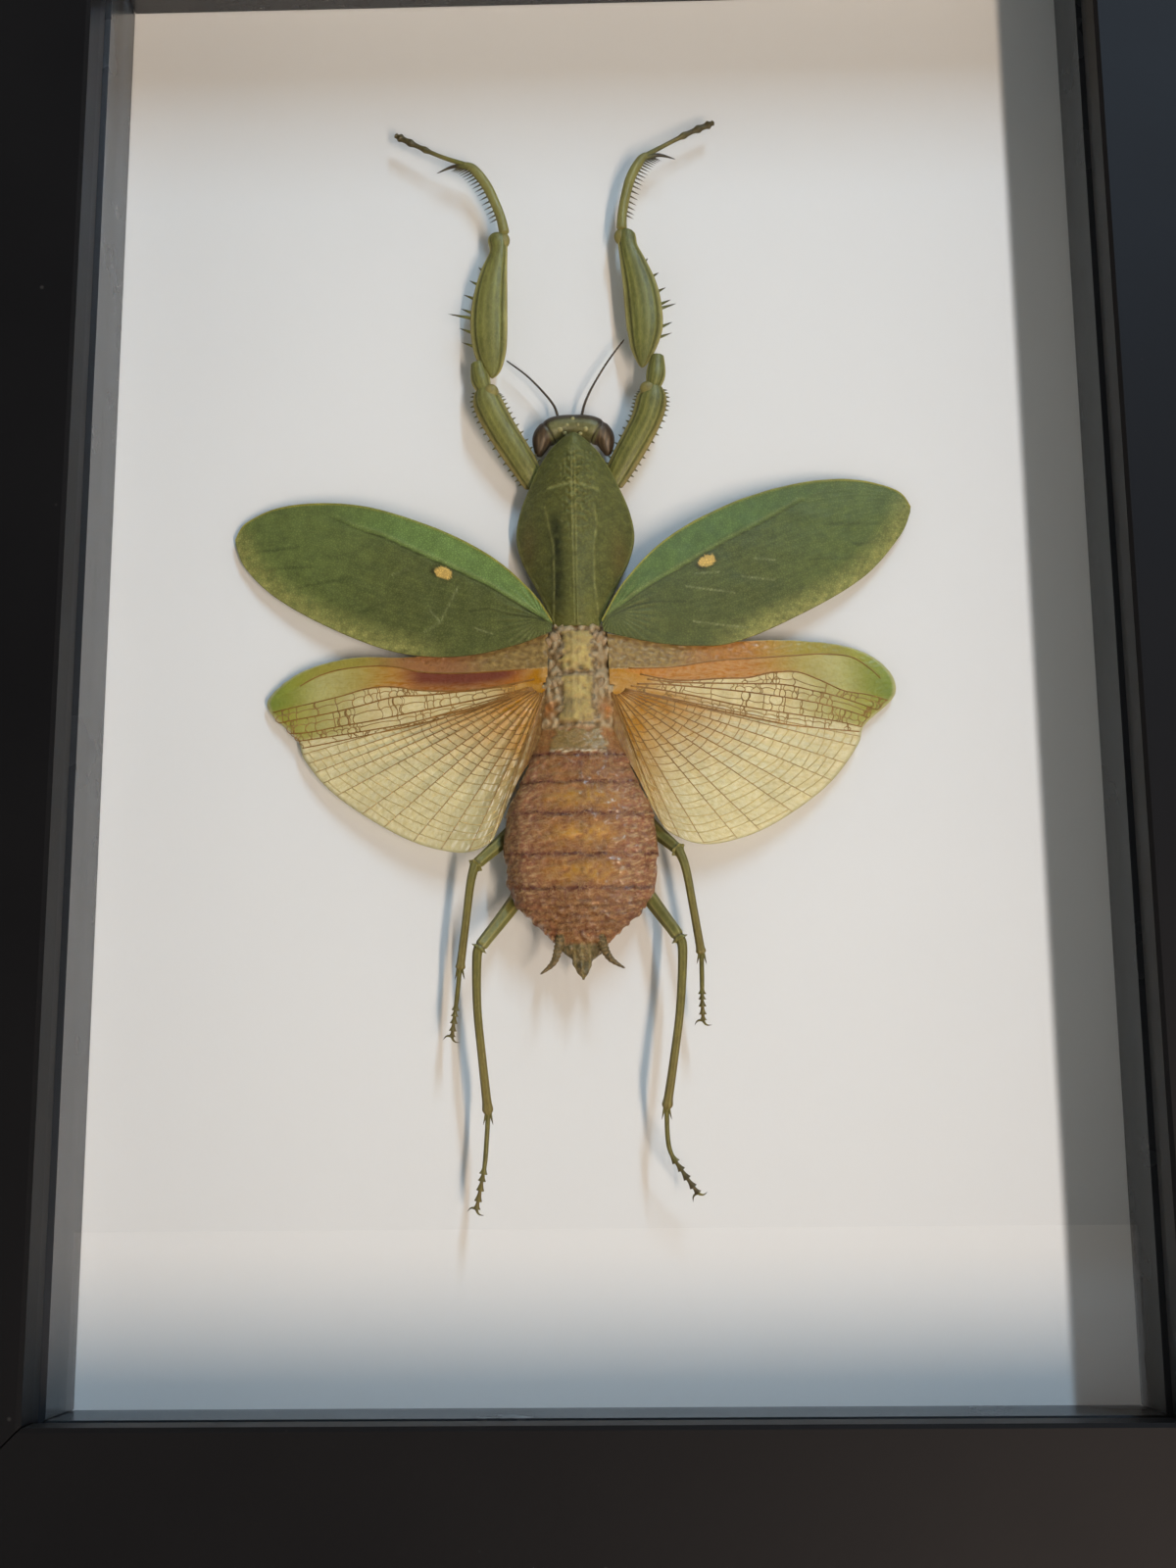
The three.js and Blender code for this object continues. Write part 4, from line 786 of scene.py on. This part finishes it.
bodyShape = dict(
    stations=[  # v, half width, height of the middle, reach up from it, reach down
        (3.0, 4.2, 5.1, 3.1, 4.0), (1.5, 5.2, 5.2, 3.7, 4.4), (-1.5, 5.8, 5.2, 4.1, 4.7),
        (-4.6, 5.6, 5.2, 3.8, 4.7), (-6.2, 6.3, 5.3, 4.1, 4.7), (-10.5, 6.4, 5.5, 3.9, 4.8),
        (-14.2, 6.4, 5.8, 3.4, 4.2), (-15.6, 6.6, 6.1, 3.3, 3.4), (-19.8, 8.0, 6.6, 3.7, 3.5),
        (-23.2, 9.4, 6.9, 3.9, 3.7),
        (-26.0, 10.9, 7.1, 4.2, 3.9), (-28.5, 11.6, 7.2, 4.3, 4.0), (-31.6, 12.0, 7.2, 4.5, 4.0),
        (-34.8, 12.0, 7.2, 4.5, 4.0), (-38.0, 11.7, 7.2, 4.4, 4.0), (-41.0, 11.0, 7.3, 4.1, 3.9),
        (-42.8, 10.0, 7.4, 3.7, 3.7), (-44.3, 8.7, 7.5, 3.2, 3.4), (-46.0, 6.4, 7.6, 2.4, 3.1),
        (-47.8, 4.8, 7.5, 1.5, 2.6), (-49.5, 3.2, 7.4, 1.0, 2.0), (-50.6, 1.9, 7.3, 0.7, 1.5),
        (-52.4, 0.9, 7.2, 0.5, 0.8), (-53.8, 0.25, 7.2, 0.3, 0.3)],
    plateEdges=[-14.8, -19.8, -23.2, -28.5, -34.8, -40.6, -42.9, -44.2, -45.6, -46.9, -48.2, -60.0],
    bandRows=[-19.0, -23.4, -28.5, -34.9, -40.2],
    tailFeelers=[[(-5.7, -46.6, 8.2, 0.8, 0.7), (-6.1, -48.8, 8.6, 0.7, 0.6), (-6.9, -51.3, 8.9, 0.5, 0.45),
                  (-8.9, -53.1, 9.0, 0.12, 0.12)],
                 [(0.3, -46.8, 8.2, 0.8, 0.7), (0.7, -48.7, 8.6, 0.7, 0.6), (1.8, -50.8, 8.9, 0.5, 0.45),
                  (4.0, -52.3, 9.0, 0.12, 0.12)]],
    tones=("#8e5a2b", "#a06a34"),
    tints=[("chest", "#a18a60"), ("cream", "#bfa962"), ("pale", "#c2b290"), ("shade", "#54432a"),
           ("grey", "#57503a"), ("ridges", "#cdb878"), ("orange", "#b06e2c"), ("plate", "#8b7440"),
           ("pink", "#99624a"), ("clouds", "#7a4428"), ("bandShade", "#74402a"), ("yellow", "#cc9434"),
           # The pale speck tint is partly the skin's own specks and partly painted glints
           ("rear", "#6e4226"), ("specks", "#c8a676"), ("smear", "#5e3420"), ("margin", "#5c3c22"),
           # The near-white tint is a painted highlight on the trapezoid's ridge
           ("pit", "#3a301c"), ("seams", "#4a3b24"), ("lip", "#e6dcbc"), ("folds", "#63391f"),
           ("bands", "#54251f"), ("olive", "#5c502e"), ("tail", "#93834e")])


def body():
    # Ovals along the stations, which are smoothed over nine rows: middle + half width · cos a, height + reach ·
    # sin a. Each abdomen plate grows towards its rear edge with the square of the share of its length. The relief
    # of plates, rings and wrinkles is on the upper side, where top is 1.
    shape = bodyShape
    known = np.array(shape["stations"])[::-1]
    v = np.linspace(known[-1, 0], known[0, 0], 460)
    soft = np.ones(9) / 9
    columns = (np.interp(v, known[:, 0], column) for column in known.T[1:])
    columns = [np.convolve(np.pad(column, 4, mode="edge"), soft, "valid") for column in columns]
    halfWidth, w, up, down = (column[:, None] for column in columns)
    sides = 110
    angle = 2 * np.pi * np.arange(sides) / sides
    edges = np.array(shape["plateEdges"])
    index = np.clip(np.searchsorted(-edges, -v, side="right") - 1, 0, len(edges) - 2)
    inPlate = (edges[index] - v) / (edges[index] - edges[index + 1])
    overlap = 0.3 * fade(v, -15.5, -18) * (inPlate ** 2 - 0.6) * fade(v, -50, -48)
    rise = np.sin(angle)
    grow = overlap[:, None] / halfWidth + 1
    tall = np.where(rise > 0, up, down) * rise
    flat = np.stack(np.broadcast_arrays(halfWidth * np.cos(angle), v[:, None]), -1)
    grow = grow + 0.2 * uneven(flat, 2.4) * np.abs(np.cos(angle)) * fade(v, -30, -40)[:, None] / halfWidth
    place = np.stack([midline(v)[:, None] + halfWidth * np.cos(angle) * grow,
                      np.broadcast_to(v[:, None], (len(v), sides)), w + tall * grow], -1)
    rowV = place[..., 1]
    off = place[..., 0] - midline(rowV)
    top = fade(rise, -0.1, 0.3) * np.ones_like(off)
    chest, belly, tip = fade(rowV, -15, -13.8), fade(rowV, -17.8, -18.8), fade(rowV, -47.9, -48.8)
    # Dark rings at the plates' edges, folds of the last rings, and lighter places between the rings
    waved = rowV + 0.14 * uneven(place, 5.0) + 0.05 * uneven(place, 1.0) - 0.004 * off ** 2
    bands = np.max([bump(waved, b, 0.3) for b in shape["bandRows"]], 0) * top
    bandShade = np.max([bump(waved, b - 0.5, 1.1) for b in shape["bandRows"]], 0) * top
    wavedRings = rowV + 0.1 * np.sin(off * 1.5) + 0.22 * uneven(place, 2.2) - 0.012 * off ** 2 + 0.5
    folds = (0.5 + 0.5 * np.cos(2 * np.pi * wavedRings / 1.15)) ** 3 * box(rowV, -47.4, -41.6, 0.5) * top
    middles = np.max([bump(rowV, b, 1.5) for b in (-26.0, -31.7, -37.6)], 0)
    # Three thorax plates: narrow, wider, and the glossy trapezoid; a double ridge runs down the first two
    plateHalf = np.interp(rowV[:, :1], (-13.6, -9.0, -6.0, -5.9, 1.2), (2.5, 2.1, 2.6, 2.5, 2.1))
    plateHalf = plateHalf + 0.35 * uneven(place, 1.8)
    plates = fade(np.abs(off) - plateHalf, 0.25, -0.25)
    plates = plates * np.maximum(box(rowV, -5.2, 1.2, 0.3), box(rowV, -13.5, -6.2, 0.3))
    ragged = 0.3 * uneven(place, 1.5)
    fromSide = np.abs(off) - 3.2 - 0.4 * (-14.6 - rowV) + ragged
    trapezoid = fade(fromSide, 0.3, -0.3) * box(rowV + ragged, -18.4, -14.8, 0.25)
    # The near-white line along the trapezoid's right edge and its base is a raised ridge painted white: a painted
    # highlight that stands in for a glint
    lip = bump(fromSide, 0, 0.3) * box(rowV, -18.6, -14.8, 0.3) * (off > 0)
    lip = np.maximum(lip, bump(rowV + 0.5 * ragged, -18.5, 0.25) * fade(np.abs(off), 4.6, 4.2)) * top
    plates, trapezoid = plates * top, trapezoid * top
    ridges = bump(np.abs(off), 0.45, 0.22) * plates
    crumple = uneven(place, 2.0)
    fineCrumple = uneven(place, 0.8)
    pit = np.exp(-((off - 0.6) ** 2 + (rowV + 4.9) ** 2) / 0.35) * top
    relief = 0.35 * plates + 0.2 * ridges + 0.3 * trapezoid + 0.25 * lip - 0.2 * folds - 0.2 * bands
    relief = relief + (0.3 * chest * (1 - plates) + 0.12 * chest * plates + 0.17 * belly) * crumple * top
    relief = relief + (0.05 + 0.05 * trapezoid) * fineCrumple * top
    relief = relief - 0.4 * pit
    place[..., 2] += relief
    worn = 0.5 + 0.5 * crumple
    beside = bump(np.abs(off), plateHalf + 0.3, 0.22) * box(rowV, -13.5, 1.2, 0.3)
    between = (bump(rowV, -5.6, 0.22) + bump(rowV, -13.9, 0.25)) * fade(np.abs(off), 3.2, 2.6)
    tailRidges = (bump(off, 0, 0.2) + bump(np.abs(off), 1.1, 0.2)) * tip * top
    abdomen = belly * (1 - tip) * top
    trunk = skin(
        place, bands=bands * (0.6 + 0.4 * worn), bandShade=bandShade * 0.35, folds=folds * 0.8,
        yellow=bump(off, 0.8, 5.0) * middles * belly * top * fade(worn, 0.0, 0.75),
        # Pale specks on the crests of the fine crumples, most towards the sides: partly the skin's own pale
        # specks, partly painted glints in place of wet highlights
        specks=fade(fineCrumple, 0.25, 0.8) * (0.2 + 0.6 * fade(np.abs(off), 4, 9)) * abdomen,
        pink=fade(np.abs(off), 3.5, 8) * belly * top * 0.75,
        smear=bump(off, 0.3, 0.55) * abdomen * fade(worn, 0.35, 0.8) * 0.6,
        rear=fade(rowV, -40.2, -42.5) * (1 - tip) * 0.4, chest=chest * 0.75,
        seams=np.maximum(beside, between) * top * fade(worn, -0.2, 0.5) * 0.7,
        clouds=fade(uneven(place, 3.2), 0.0, 0.8) * abdomen * 0.6, cream=plates * (0.6 + 0.4 * worn),
        ridges=ridges * 0.5, pit=pit * 0.9, lip=lip * fade(fineCrumple, -0.5, 0.4) * 0.85,
        shade=chest * fade(crumple, -0.1, -1.0) * (0.65 - 0.3 * plates),
        grey=box(off, -2.4, -0.6, 0.4) * box(rowV, -13.2, -9.5, 0.6) * 0.5 * top,
        pale=chest * (1 - plates) * fade(crumple, -0.6, 0.8) * 0.75 * top,
        orange=bump(np.abs(off), 4.6, 1.1) * bump(rowV, -11.3, 1.5), plate=trapezoid * (0.75 + 0.25 * worn),
        olive=tip, tail=tailRidges * 0.6, margin=fade(off, -8.2, -10.4) * belly * 0.8,
        wetness=0.6 * np.maximum(trapezoid, lip) + 0.9 * belly * fade(crumple, 0.2, 0.6))
    # Tail feelers are ringed, and small lumpy hinge plates sit beside the thorax plates
    parts = [trunk]
    turns = np.linspace(0, 24 * np.pi, 110)
    for path in shape["tailFeelers"]:
        parts.append(limb(path, 110, 14, grow=(1 + 0.09 * np.sin(turns))[:, None], olive=0.9,
                          shade=(0.5 - 0.5 * np.sin(turns))[:, None]))
    lumps = (1 + 0.16 * np.sin(np.linspace(0, 5 * np.pi, 30)))[:, None]
    for side in (-1, 1):
        for plateV in (0.2, -7.4):
            path = [(midline(plateV) + side * away, plateV + back, *rest) for away, back, *rest in
                    ((2.7, 0.5, 7.9, 0.8, 0.7), (3.5, 0.1, 7.9, 1.0, 0.8), (4.6, -0.5, 7.3, 0.7, 0.5))]
            parts.append(limb(path, 30, 16, grow=lumps, pale=0.6, shade=0.15))
    # Body skin: dried and wrinkled chitin, orange-brown with dark rings, wet-looking in places
    look = chitin("orange-brown body chitin", shape["tones"], shape["tints"], grain=0.7, net=0.15, netSize=0.35,
                  depth=0.12, squiggle=0.35, squiggleSize=1.2, squiggleTint="#bf9a62", roughness=(0.4, 0.6),
                  wet=0.3, shine=0.3, coat=0.8, gloss="wetness")
    makePiece("mantis_body", parts, [look])


headShape = dict(
    v=36.2, path=[(-5.5, 32.5, 3.4, 0.4, 0.4), (-5.5, 33.6, 3.6, 1.05, 1.2), (-4.9, 35.6, 3.8, 1.85, 2.1),
                  (-3.0, 36.9, 3.9, 2.2, 2.4), (0.0, 37.3, 3.9, 2.1, 2.4), (3.0, 36.9, 3.9, 2.2, 2.4),
                  (4.9, 35.6, 3.8, 1.85, 2.1), (5.5, 33.6, 3.6, 1.05, 1.2), (5.5, 32.5, 3.4, 0.4, 0.4)],
    # u from the middle, v and radius of the bumps between the eyes
    bumps=[(-0.9, 37.0, 0.4), (0.9, 37.0, 0.4), (0, 38.0, 0.35), (-2.1, 36.2, 0.45), (2.1, 36.2, 0.45),
           (-1.3, 35.5, 0.35), (1.2, 35.4, 0.35)],
    feelers=[[(-5.9, 38.4), (-6.6, 41.0), (-8.3, 43.6), (-11.2, 46.9), (-14.6, 49.8)],
             [(-2.3, 38.4), (-1.6, 41.6), (-0.2, 44.9), (2.3, 49.3), (5.0, 53.2)]],
    tones=("#66653a", "#77744a"), feelerTones=("#3a2f22", "#4a3d2c"),
    tints=[("eyes", "#4d3e2c"), ("tan", "#85704e"), ("arc", "#35271b"), ("crease", "#2f2418"),
           ("pale", "#a59c66")])


def head():
    # A half-moon seen from above: both eyes and the face between them in one limb, eye tips pointing back. The
    # eyes are where the share of the limb is more than about 0.2 from its middle. The feelers' beads are a sine.
    shape = headShape
    middle = midline(shape["v"])
    t = np.linspace(0, 1, 200)[:, None]
    angle = 2 * np.pi * np.arange(72) / 72
    forward = -np.cos(angle)[None] * np.ones_like(t)
    side = np.abs(t - 0.5)
    eyes = fade(side + 0.05 * forward, 0.17, 0.21)
    path = [(middle + u, *rest) for u, *rest in shape["path"]]
    lines = np.cos(5.5 * angle + 6 * np.sin(9 * t)) ** 2
    crease = bump(side, 0.18, 0.012)
    parts = [limb(path, 200, 72, grow=(1 - 0.07 * crease) * np.ones_like(forward), eyes=eyes,
                  tan=eyes * lines ** 3 * (0.2 + 0.4 * bump(side, 0.3, 0.08)), arc=fade(forward, 0.1, 0.55) * 0.95,
                  crease=crease * 0.8 * np.ones_like(forward)),
             ball((middle, shape["v"] - 1.0, 2.6), (2.4, 2.2, 2.0), 24, 32)]
    for u, v, radius in shape["bumps"]:
        parts.append(ball((middle + u, v, 6.05), (radius, radius, 0.3), 10, 14, pale=0.8))
    beads = (1 + 0.14 * np.sin(np.linspace(0, 60 * np.pi, 240)))[:, None]
    for route in shape["feelers"]:
        path = [(u, v, 4.2 - 0.35 * i, 0.24 - 0.025 * i, 0.24 - 0.025 * i) for i, (u, v) in enumerate(route)]
        parts.append(limb(path, 240, 8, grow=beads, look=1))
    # Head skin: olive-green chitin, and eyes of fine facets, dark brown with tan streaks
    olive = chitin("olive head and brown eye chitin", shape["tones"], shape["tints"], grain=0.4, net=0.12,
                   netSize=0.16, depth=0.02, roughness=(0.35, 0.5), wet=0.3)
    # Feelers: thin dark beads
    hair = chitin("dark feeler", shape["feelerTones"], grain=0.3)
    makePiece("mantis_head", parts, [olive, hair])


# Paths of u, v, w, half width and half thickness; the thigh's leaf has v, u and half width; thorn tips are u and v
foreLegs = {
    "left": dict(
        coxa=[(-9.7, 27.6, 3.0, 1.8, 1.1), (-11.7, 31.0, 4.0, 2.3, 1.5), (-15.5, 37.2, 4.8, 2.5, 1.5),
              (-17.6, 41.6, 5.0, 2.4, 1.5), (-17.9, 43.9, 5.0, 1.4, 1.0)],
        trochanter=[(-17.8, 42.9, 5.0, 0.9, 0.9), (-18.7, 45.4, 5.0, 1.6, 1.2), (-19.3, 48.6, 4.8, 1.1, 1.0)],
        thigh=[(71.8, -16.0, 0.7), (70.6, -16.0, 1.6), (68.2, -15.8, 1.5), (65.0, -16.45, 2.15),
               (61.5, -17.0, 2.7), (57.5, -17.35, 3.05), (53.5, -17.35, 3.05), (50.0, -17.1, 2.6),
               (47.4, -16.8, 1.6), (45.8, -16.8, 0.4)],
        shin=[(-14.8, 71.4, 5.0, 0.9, 0.8), (-15.6, 75.0, 5.0, 0.8, 0.7), (-17.7, 80.2, 4.8, 0.85, 0.7),
              (-20.0, 83.6, 4.6, 0.8, 0.7), (-21.6, 84.6, 4.6, 0.5, 0.5)],
        hook=[(-20.8, 84.0, 4.6, 0.5, 0.45), (-23.4, 84.4, 4.4, 0.32, 0.3), (-26.3, 83.3, 4.2, 0.06, 0.06)],
        foot=[(-21.0, 84.4, 4.6, 0.45, 0.45), (-25.6, 86.3, 4.3, 0.36, 0.36), (-29.5, 88.4, 4.0, 0.4, 0.38),
              (-32.6, 90.2, 3.8, 0.5, 0.42), (-33.6, 90.8, 3.8, 0.25, 0.25)],
        outward=-1, tones=("#64642e", "#78763a"),
        thorns=[(-19.2, 65.8), (-20.7, 63.4), (-21.7, 60.9), (-22.1, 58.4), (-24.2, 57.5), (-22.3, 54.9),
                (-21.9, 52.4)]),
    "right": dict(
        coxa=[(2.6, 27.6, 3.0, 1.8, 1.1), (4.9, 31.6, 4.0, 2.3, 1.5), (8.2, 37.6, 4.8, 2.5, 1.5),
              (9.4, 41.6, 5.0, 2.5, 1.5), (9.6, 43.9, 5.0, 1.4, 1.0)],
        trochanter=[(9.4, 42.9, 5.0, 0.9, 0.9), (10.1, 45.8, 5.0, 1.6, 1.2), (10.4, 49.4, 4.8, 1.1, 1.0)],
        thigh=[(72.0, 5.6, 0.7), (70.9, 5.6, 1.5), (68.6, 5.85, 1.65), (65.4, 6.75, 2.25), (61.6, 7.7, 2.85),
               (58.0, 8.2, 3.1), (54.2, 8.4, 3.0), (50.8, 8.15, 2.2), (48.6, 8.0, 1.2), (47.2, 7.9, 0.35)],
        shin=[(4.8, 71.8, 5.0, 0.9, 0.8), (5.0, 75.2, 5.0, 0.8, 0.7), (6.2, 80.8, 4.8, 0.85, 0.7),
              (7.9, 84.4, 4.6, 0.8, 0.7), (9.2, 85.8, 4.6, 0.5, 0.5)],
        hook=[(8.4, 85.0, 4.6, 0.5, 0.45), (11.2, 85.7, 4.4, 0.32, 0.3), (14.0, 85.0, 4.2, 0.06, 0.06)],
        foot=[(8.7, 85.4, 4.6, 0.45, 0.45), (12.9, 87.9, 4.3, 0.36, 0.36), (16.6, 90.0, 4.0, 0.42, 0.4),
              (19.6, 91.4, 3.8, 0.5, 0.42), (20.7, 91.9, 3.8, 0.25, 0.25)],
        outward=1, tones=("#585927", "#6b6b33"),
        thorns=[(9.1, 66.8), (10.9, 64.2), (12.0, 61.5), (12.8, 59.3), (13.7, 58.6), (13.0, 55.3), (12.9, 53.4)]),
}


legColours = dict(
    walking=("#5e5828", "#726a30"),
    tints=[("streak", "#93904e"), ("groove", "#434620"), ("tan", "#8e7440"), ("pale", "#b4a868"),
           ("dark", "#33261a")])


def legLook(name, tones):
    # Leg skin: smooth chitin with fine lengthwise lines
    return chitin(name, tones, legColours["tints"], grain=0.6, net=0.1, netSize=0.3, depth=0.02, squiggle=0.12,
                  squiggleSize=0.9, squiggleTint="#a8a068", stretch=(1, 1, 0.4), roughness=(0.38, 0.52), wet=0.3,
                  shine=0.25)


def edgeTeeth(path, side, count, reach):
    # Small teeth along one edge of a leg part: from the path + its half width to the reach beyond, square to it
    stations = curveThrough(path, np.linspace(0.12, 0.9, count))
    run = np.gradient(stations[:, :2], axis=0)
    run = run / np.linalg.norm(run, axis=1, keepdims=True)
    outwards = np.stack([run[:, 1], -run[:, 0], np.zeros(count)], -1) * side
    roots = stations[:, :3] + outwards * (stations[:, 3:4] - 0.15)
    return thorns(roots, roots + outwards * reach, 0.22)


def foreLeg(side):
    # Leaf-shaped limbs with a groove inside each edge, rounded joints, a foot with knots at its joints, thorns on
    # the thigh's outer edge, and a comb whose teeth lengthen as 1.7 + 0.9 · their share of the shin
    leg = foreLegs[side]
    outward = leg["outward"]
    angle = 2 * np.pi * np.arange(48) / 48
    across = np.abs(np.cos(angle))[None]
    edges, groove = fade(across, 0.84, 0.9), bump(across, 0.78, 0.06)
    streaks = (0.5 + 0.5 * np.cos(14 * angle))[None] ** 2 * 0.6
    leafy = 1 - 0.12 * groove
    t = np.linspace(0, 1, 160)[:, None]
    blade = [(u, v, 5.0, half, 0.35 + 0.3 * half) for v, u, half in leg["thigh"]]
    parts = [limb(leg["coxa"], 90, 48, grow=leafy, tan=edges * 0.7, pale=edges * 0.3, groove=groove * 0.6,
                  streak=streaks),
             limb(leg["trochanter"], 50, 48, grow=leafy, pale=edges * 0.6, groove=groove * 0.7, streak=streaks),
             limb(blade, 160, 48, grow=leafy, pale=edges * 0.75, groove=groove * 0.75,
                  streak=streaks * bump(t, 0.5, 0.4)),
             limb(leg["shin"], 90, 20, pale=0.3),
             limb(leg["hook"], 50, 12, dark=fade(np.linspace(0, 1, 50), 0.1, 0.5)[:, None])]
    kneeU, kneeV = leg["coxa"][-1][:2]
    topV, topU = leg["thigh"][1][:2]
    parts.append(ball((kneeU - outward * 0.9, kneeV - 0.7, 5.5), (1.3, 1.3, 0.9), 20, 24, tan=0.35, pale=0.2))
    parts.append(ball((topU - outward * 1.0, topV - 0.3, 5.0), (1.1, 1.4, 0.7), 20, 24, tan=0.3, pale=0.2))
    footShare = np.linspace(0, 1, 140)
    knots = 1 + 0.5 * np.max([bump(footShare, at, 0.035) for at in (0.42, 0.6, 0.76, 0.92)], 0)
    parts.append(limb(leg["foot"], 140, 12, grow=knots[:, None], tan=fade(footShare, 0.0, 0.3)[:, None] * 0.3,
                      dark=fade(footShare, 0.05, 0.6)[:, None] * 0.8))
    parts += [edgeTeeth(leg["coxa"], way, 17, 0.75) for way in (-1, 1)]
    # Thorns rise from the leaf's outer edge, which is its middle + its half width
    routeV, routeU, routeHalf = np.array(leg["thigh"])[::-1].T
    tips = np.array([(u, v, 4.6) for u, v in leg["thorns"]])
    rootV = tips[:, 1] - 1.1
    edgeU = np.interp(rootV, routeV, routeU) + outward * np.interp(rootV, routeV, routeHalf)
    roots = np.stack([edgeU - outward * 0.5, rootV, np.full(len(tips), 5.0)], -1)
    parts.append(thorns(roots, tips, 0.34))
    share = np.linspace(0.22, 0.96, 19)
    seat = curveThrough(leg["shin"], share)[:, :3]
    reach = (1.7 + 0.9 * share)[:, None]
    combTips = seat + reach * [outward, -0.4, 0] - [0, 0, 0.3]
    parts.append(thorns(seat + [outward * 0.3, 0, 0], combTips, 0.2, tone=0.8))
    makePiece("foreleg_" + side, parts, [legLook("green foreleg chitin", leg["tones"])])


# Paths of u, v, w and radius; the foot's has no radius. darkFoot says how dark the foot's end is.
walkingLegs = {
    "midleg_left": dict(
        darkFoot=0.2,
        thigh=[(-6.8, -17.4, 1.5, 0.9), (-7.4, -22.3, 1.5, 1.0), (-12.4, -28.2, 2.2, 1.0),
               (-15.5, -31.9, 4.2, 0.95), (-18.2, -35.0, 7.0, 0.8), (-19.1, -36.1, 7.9, 0.85)],
        shin=[(-19.0, -35.7, 7.8, 0.75), (-19.7, -38.8, 8.3, 0.62), (-20.5, -45.6, 8.2, 0.58),
              (-21.3, -52.2, 7.9, 0.62)],
        foot=[(-21.3, -51.8, 7.9), (-21.8, -56.6, 7.4), (-22.2, -59.4, 6.9), (-22.6, -62.2, 6.4)]),
    "midleg_right": dict(
        darkFoot=0.2,
        thigh=[(1.9, -17.2, 1.5, 0.9), (1.7, -21.4, 1.5, 1.0), (6.2, -26.6, 2.0, 1.0), (9.6, -30.7, 4.2, 0.95),
               (11.7, -33.1, 7.0, 0.8), (12.5, -34.0, 7.9, 0.85)],
        shin=[(12.3, -33.5, 7.8, 0.75), (13.5, -36.8, 8.3, 0.62), (14.6, -43.2, 8.2, 0.58),
              (15.7, -50.2, 7.9, 0.62)],
        foot=[(15.7, -49.8, 7.9), (15.7, -54.6, 7.4), (15.7, -57.2, 6.9), (15.8, -60.1, 6.4)]),
    "hindleg_left": dict(
        darkFoot=0.2,
        thigh=[(-4.4, -19.6, 1.5, 0.9), (-5.2, -28.6, 1.5, 1.1), (-10.4, -36.6, 2.1, 1.1),
               (-13.8, -42.2, 4.6, 1.0), (-17.4, -47.7, 8.4, 0.85), (-18.4, -49.2, 8.9, 0.9)],
        shin=[(-18.2, -48.8, 8.8, 0.8), (-18.6, -50.6, 9.2, 0.68), (-18.5, -58.0, 9.4, 0.6),
              (-17.7, -66.0, 9.4, 0.6), (-16.8, -74.2, 9.0, 0.66)],
        foot=[(-16.8, -73.8, 9.0), (-17.3, -80.8, 8.2), (-17.9, -84.2, 7.6), (-18.7, -88.0, 6.8)]),
    "hindleg_right": dict(
        darkFoot=0.75,
        thigh=[(-1.3, -19.6, 1.5, 0.9), (-0.6, -27.4, 1.5, 1.1), (4.5, -35.2, 2.1, 1.1), (8.2, -41.2, 4.3, 1.0),
               (11.5, -46.4, 8.4, 0.85), (12.5, -48.1, 8.9, 0.9)],
        shin=[(12.2, -47.7, 8.8, 0.8), (12.8, -49.6, 9.2, 0.68), (12.3, -58.2, 9.4, 0.6), (11.2, -66.2, 9.4, 0.6),
              (10.0, -73.6, 9.0, 0.66)],
        foot=[(10.0, -73.2, 9.0), (10.3, -79.2, 8.2), (12.3, -82.8, 7.6), (14.5, -85.9, 6.8)]),
}


def walkingLeg(node):
    # Six-ribbed limbs, wider at the knee and the ankle and narrower just above the knee. The foot is a tube with
    # lobes that grow with the square of their share, and it ends in two claws; two spurs sit at the shin's end.
    leg = walkingLegs[node]
    angle = 2 * np.pi * np.arange(30) / 30
    lines = (0.5 + 0.5 * np.cos(6 * angle))[None] ** 4
    ribs = 1 + 0.08 * np.cos(6 * angle)[None]
    share = np.linspace(0, 1, 120)[:, None]
    thigh = [(u, v, w, r * 1.1, r * 0.95) for u, v, w, r in leg["thigh"]]
    shin = [(u, v, w, r, r * 0.85) for u, v, w, r in leg["shin"]]
    knee = 1 + 0.35 * bump(share, 0.96, 0.03) - 0.2 * bump(share, 0.89, 0.025)
    ankle = 1 + 0.25 * bump(share, 0.97, 0.03)
    parts = [limb(thigh, 120, 30, grow=ribs * knee, pale=lines * 0.6, streak=0.3,
                  dark=0.75 * bump(share, 0.89, 0.015)),
             limb(shin, 120, 30, grow=ribs * ankle, pale=lines * 0.25, tan=0.35 * fade(share, 0.2, 1))]
    t = np.linspace(0, 1, 160)
    route = curveThrough(leg["foot"], t)
    lobes = fade(t, 0.4, 0.46) * ((t - 0.4) / 0.12 % 1) ** 2
    radius = 0.36 - 0.1 * fade(t, 0.3, 0.6) + 0.4 * lobes
    parts.append(tube(route, radius, radius, 14, tan=fade(t, 0.3, 1)[:, None] * 0.4,
                      dark=fade(t, 0.35, 0.8)[:, None] * leg["darkFoot"]))
    end, away = route[-1], (route[-1] - route[-8]) / np.linalg.norm(route[-1] - route[-8])
    sideways = np.array([-away[1], away[0], 0])
    clawTips = [end + away * 0.7 + sideways * 1.35 * s + [0, 0, -0.4] for s in (-1, 1)]
    parts.append(thorns([end, end], clawTips, 0.24, bend=0.25))
    ankleEnd = np.array(leg["shin"][-1][:3])
    spurRoots, spurTips = ([ankleEnd + [out * s, down, w] for s in (-1, 1)]
                           for out, down, w in ((0.3, 0.3, 0), (0.75, -1.5, 0.1)))
    parts.append(thorns(spurRoots, spurTips, 0.24))
    makePiece(node, parts, [legLook("olive walking-leg chitin", legColours["walking"])])


setCamera()
setLights()
dressFrame()
addFloor()
for side in ("left", "right"):
    foreWing(side)
    hindWing(side)
    foreLeg(side)
for node in walkingLegs:
    walkingLeg(node)
shield()
body()
head()
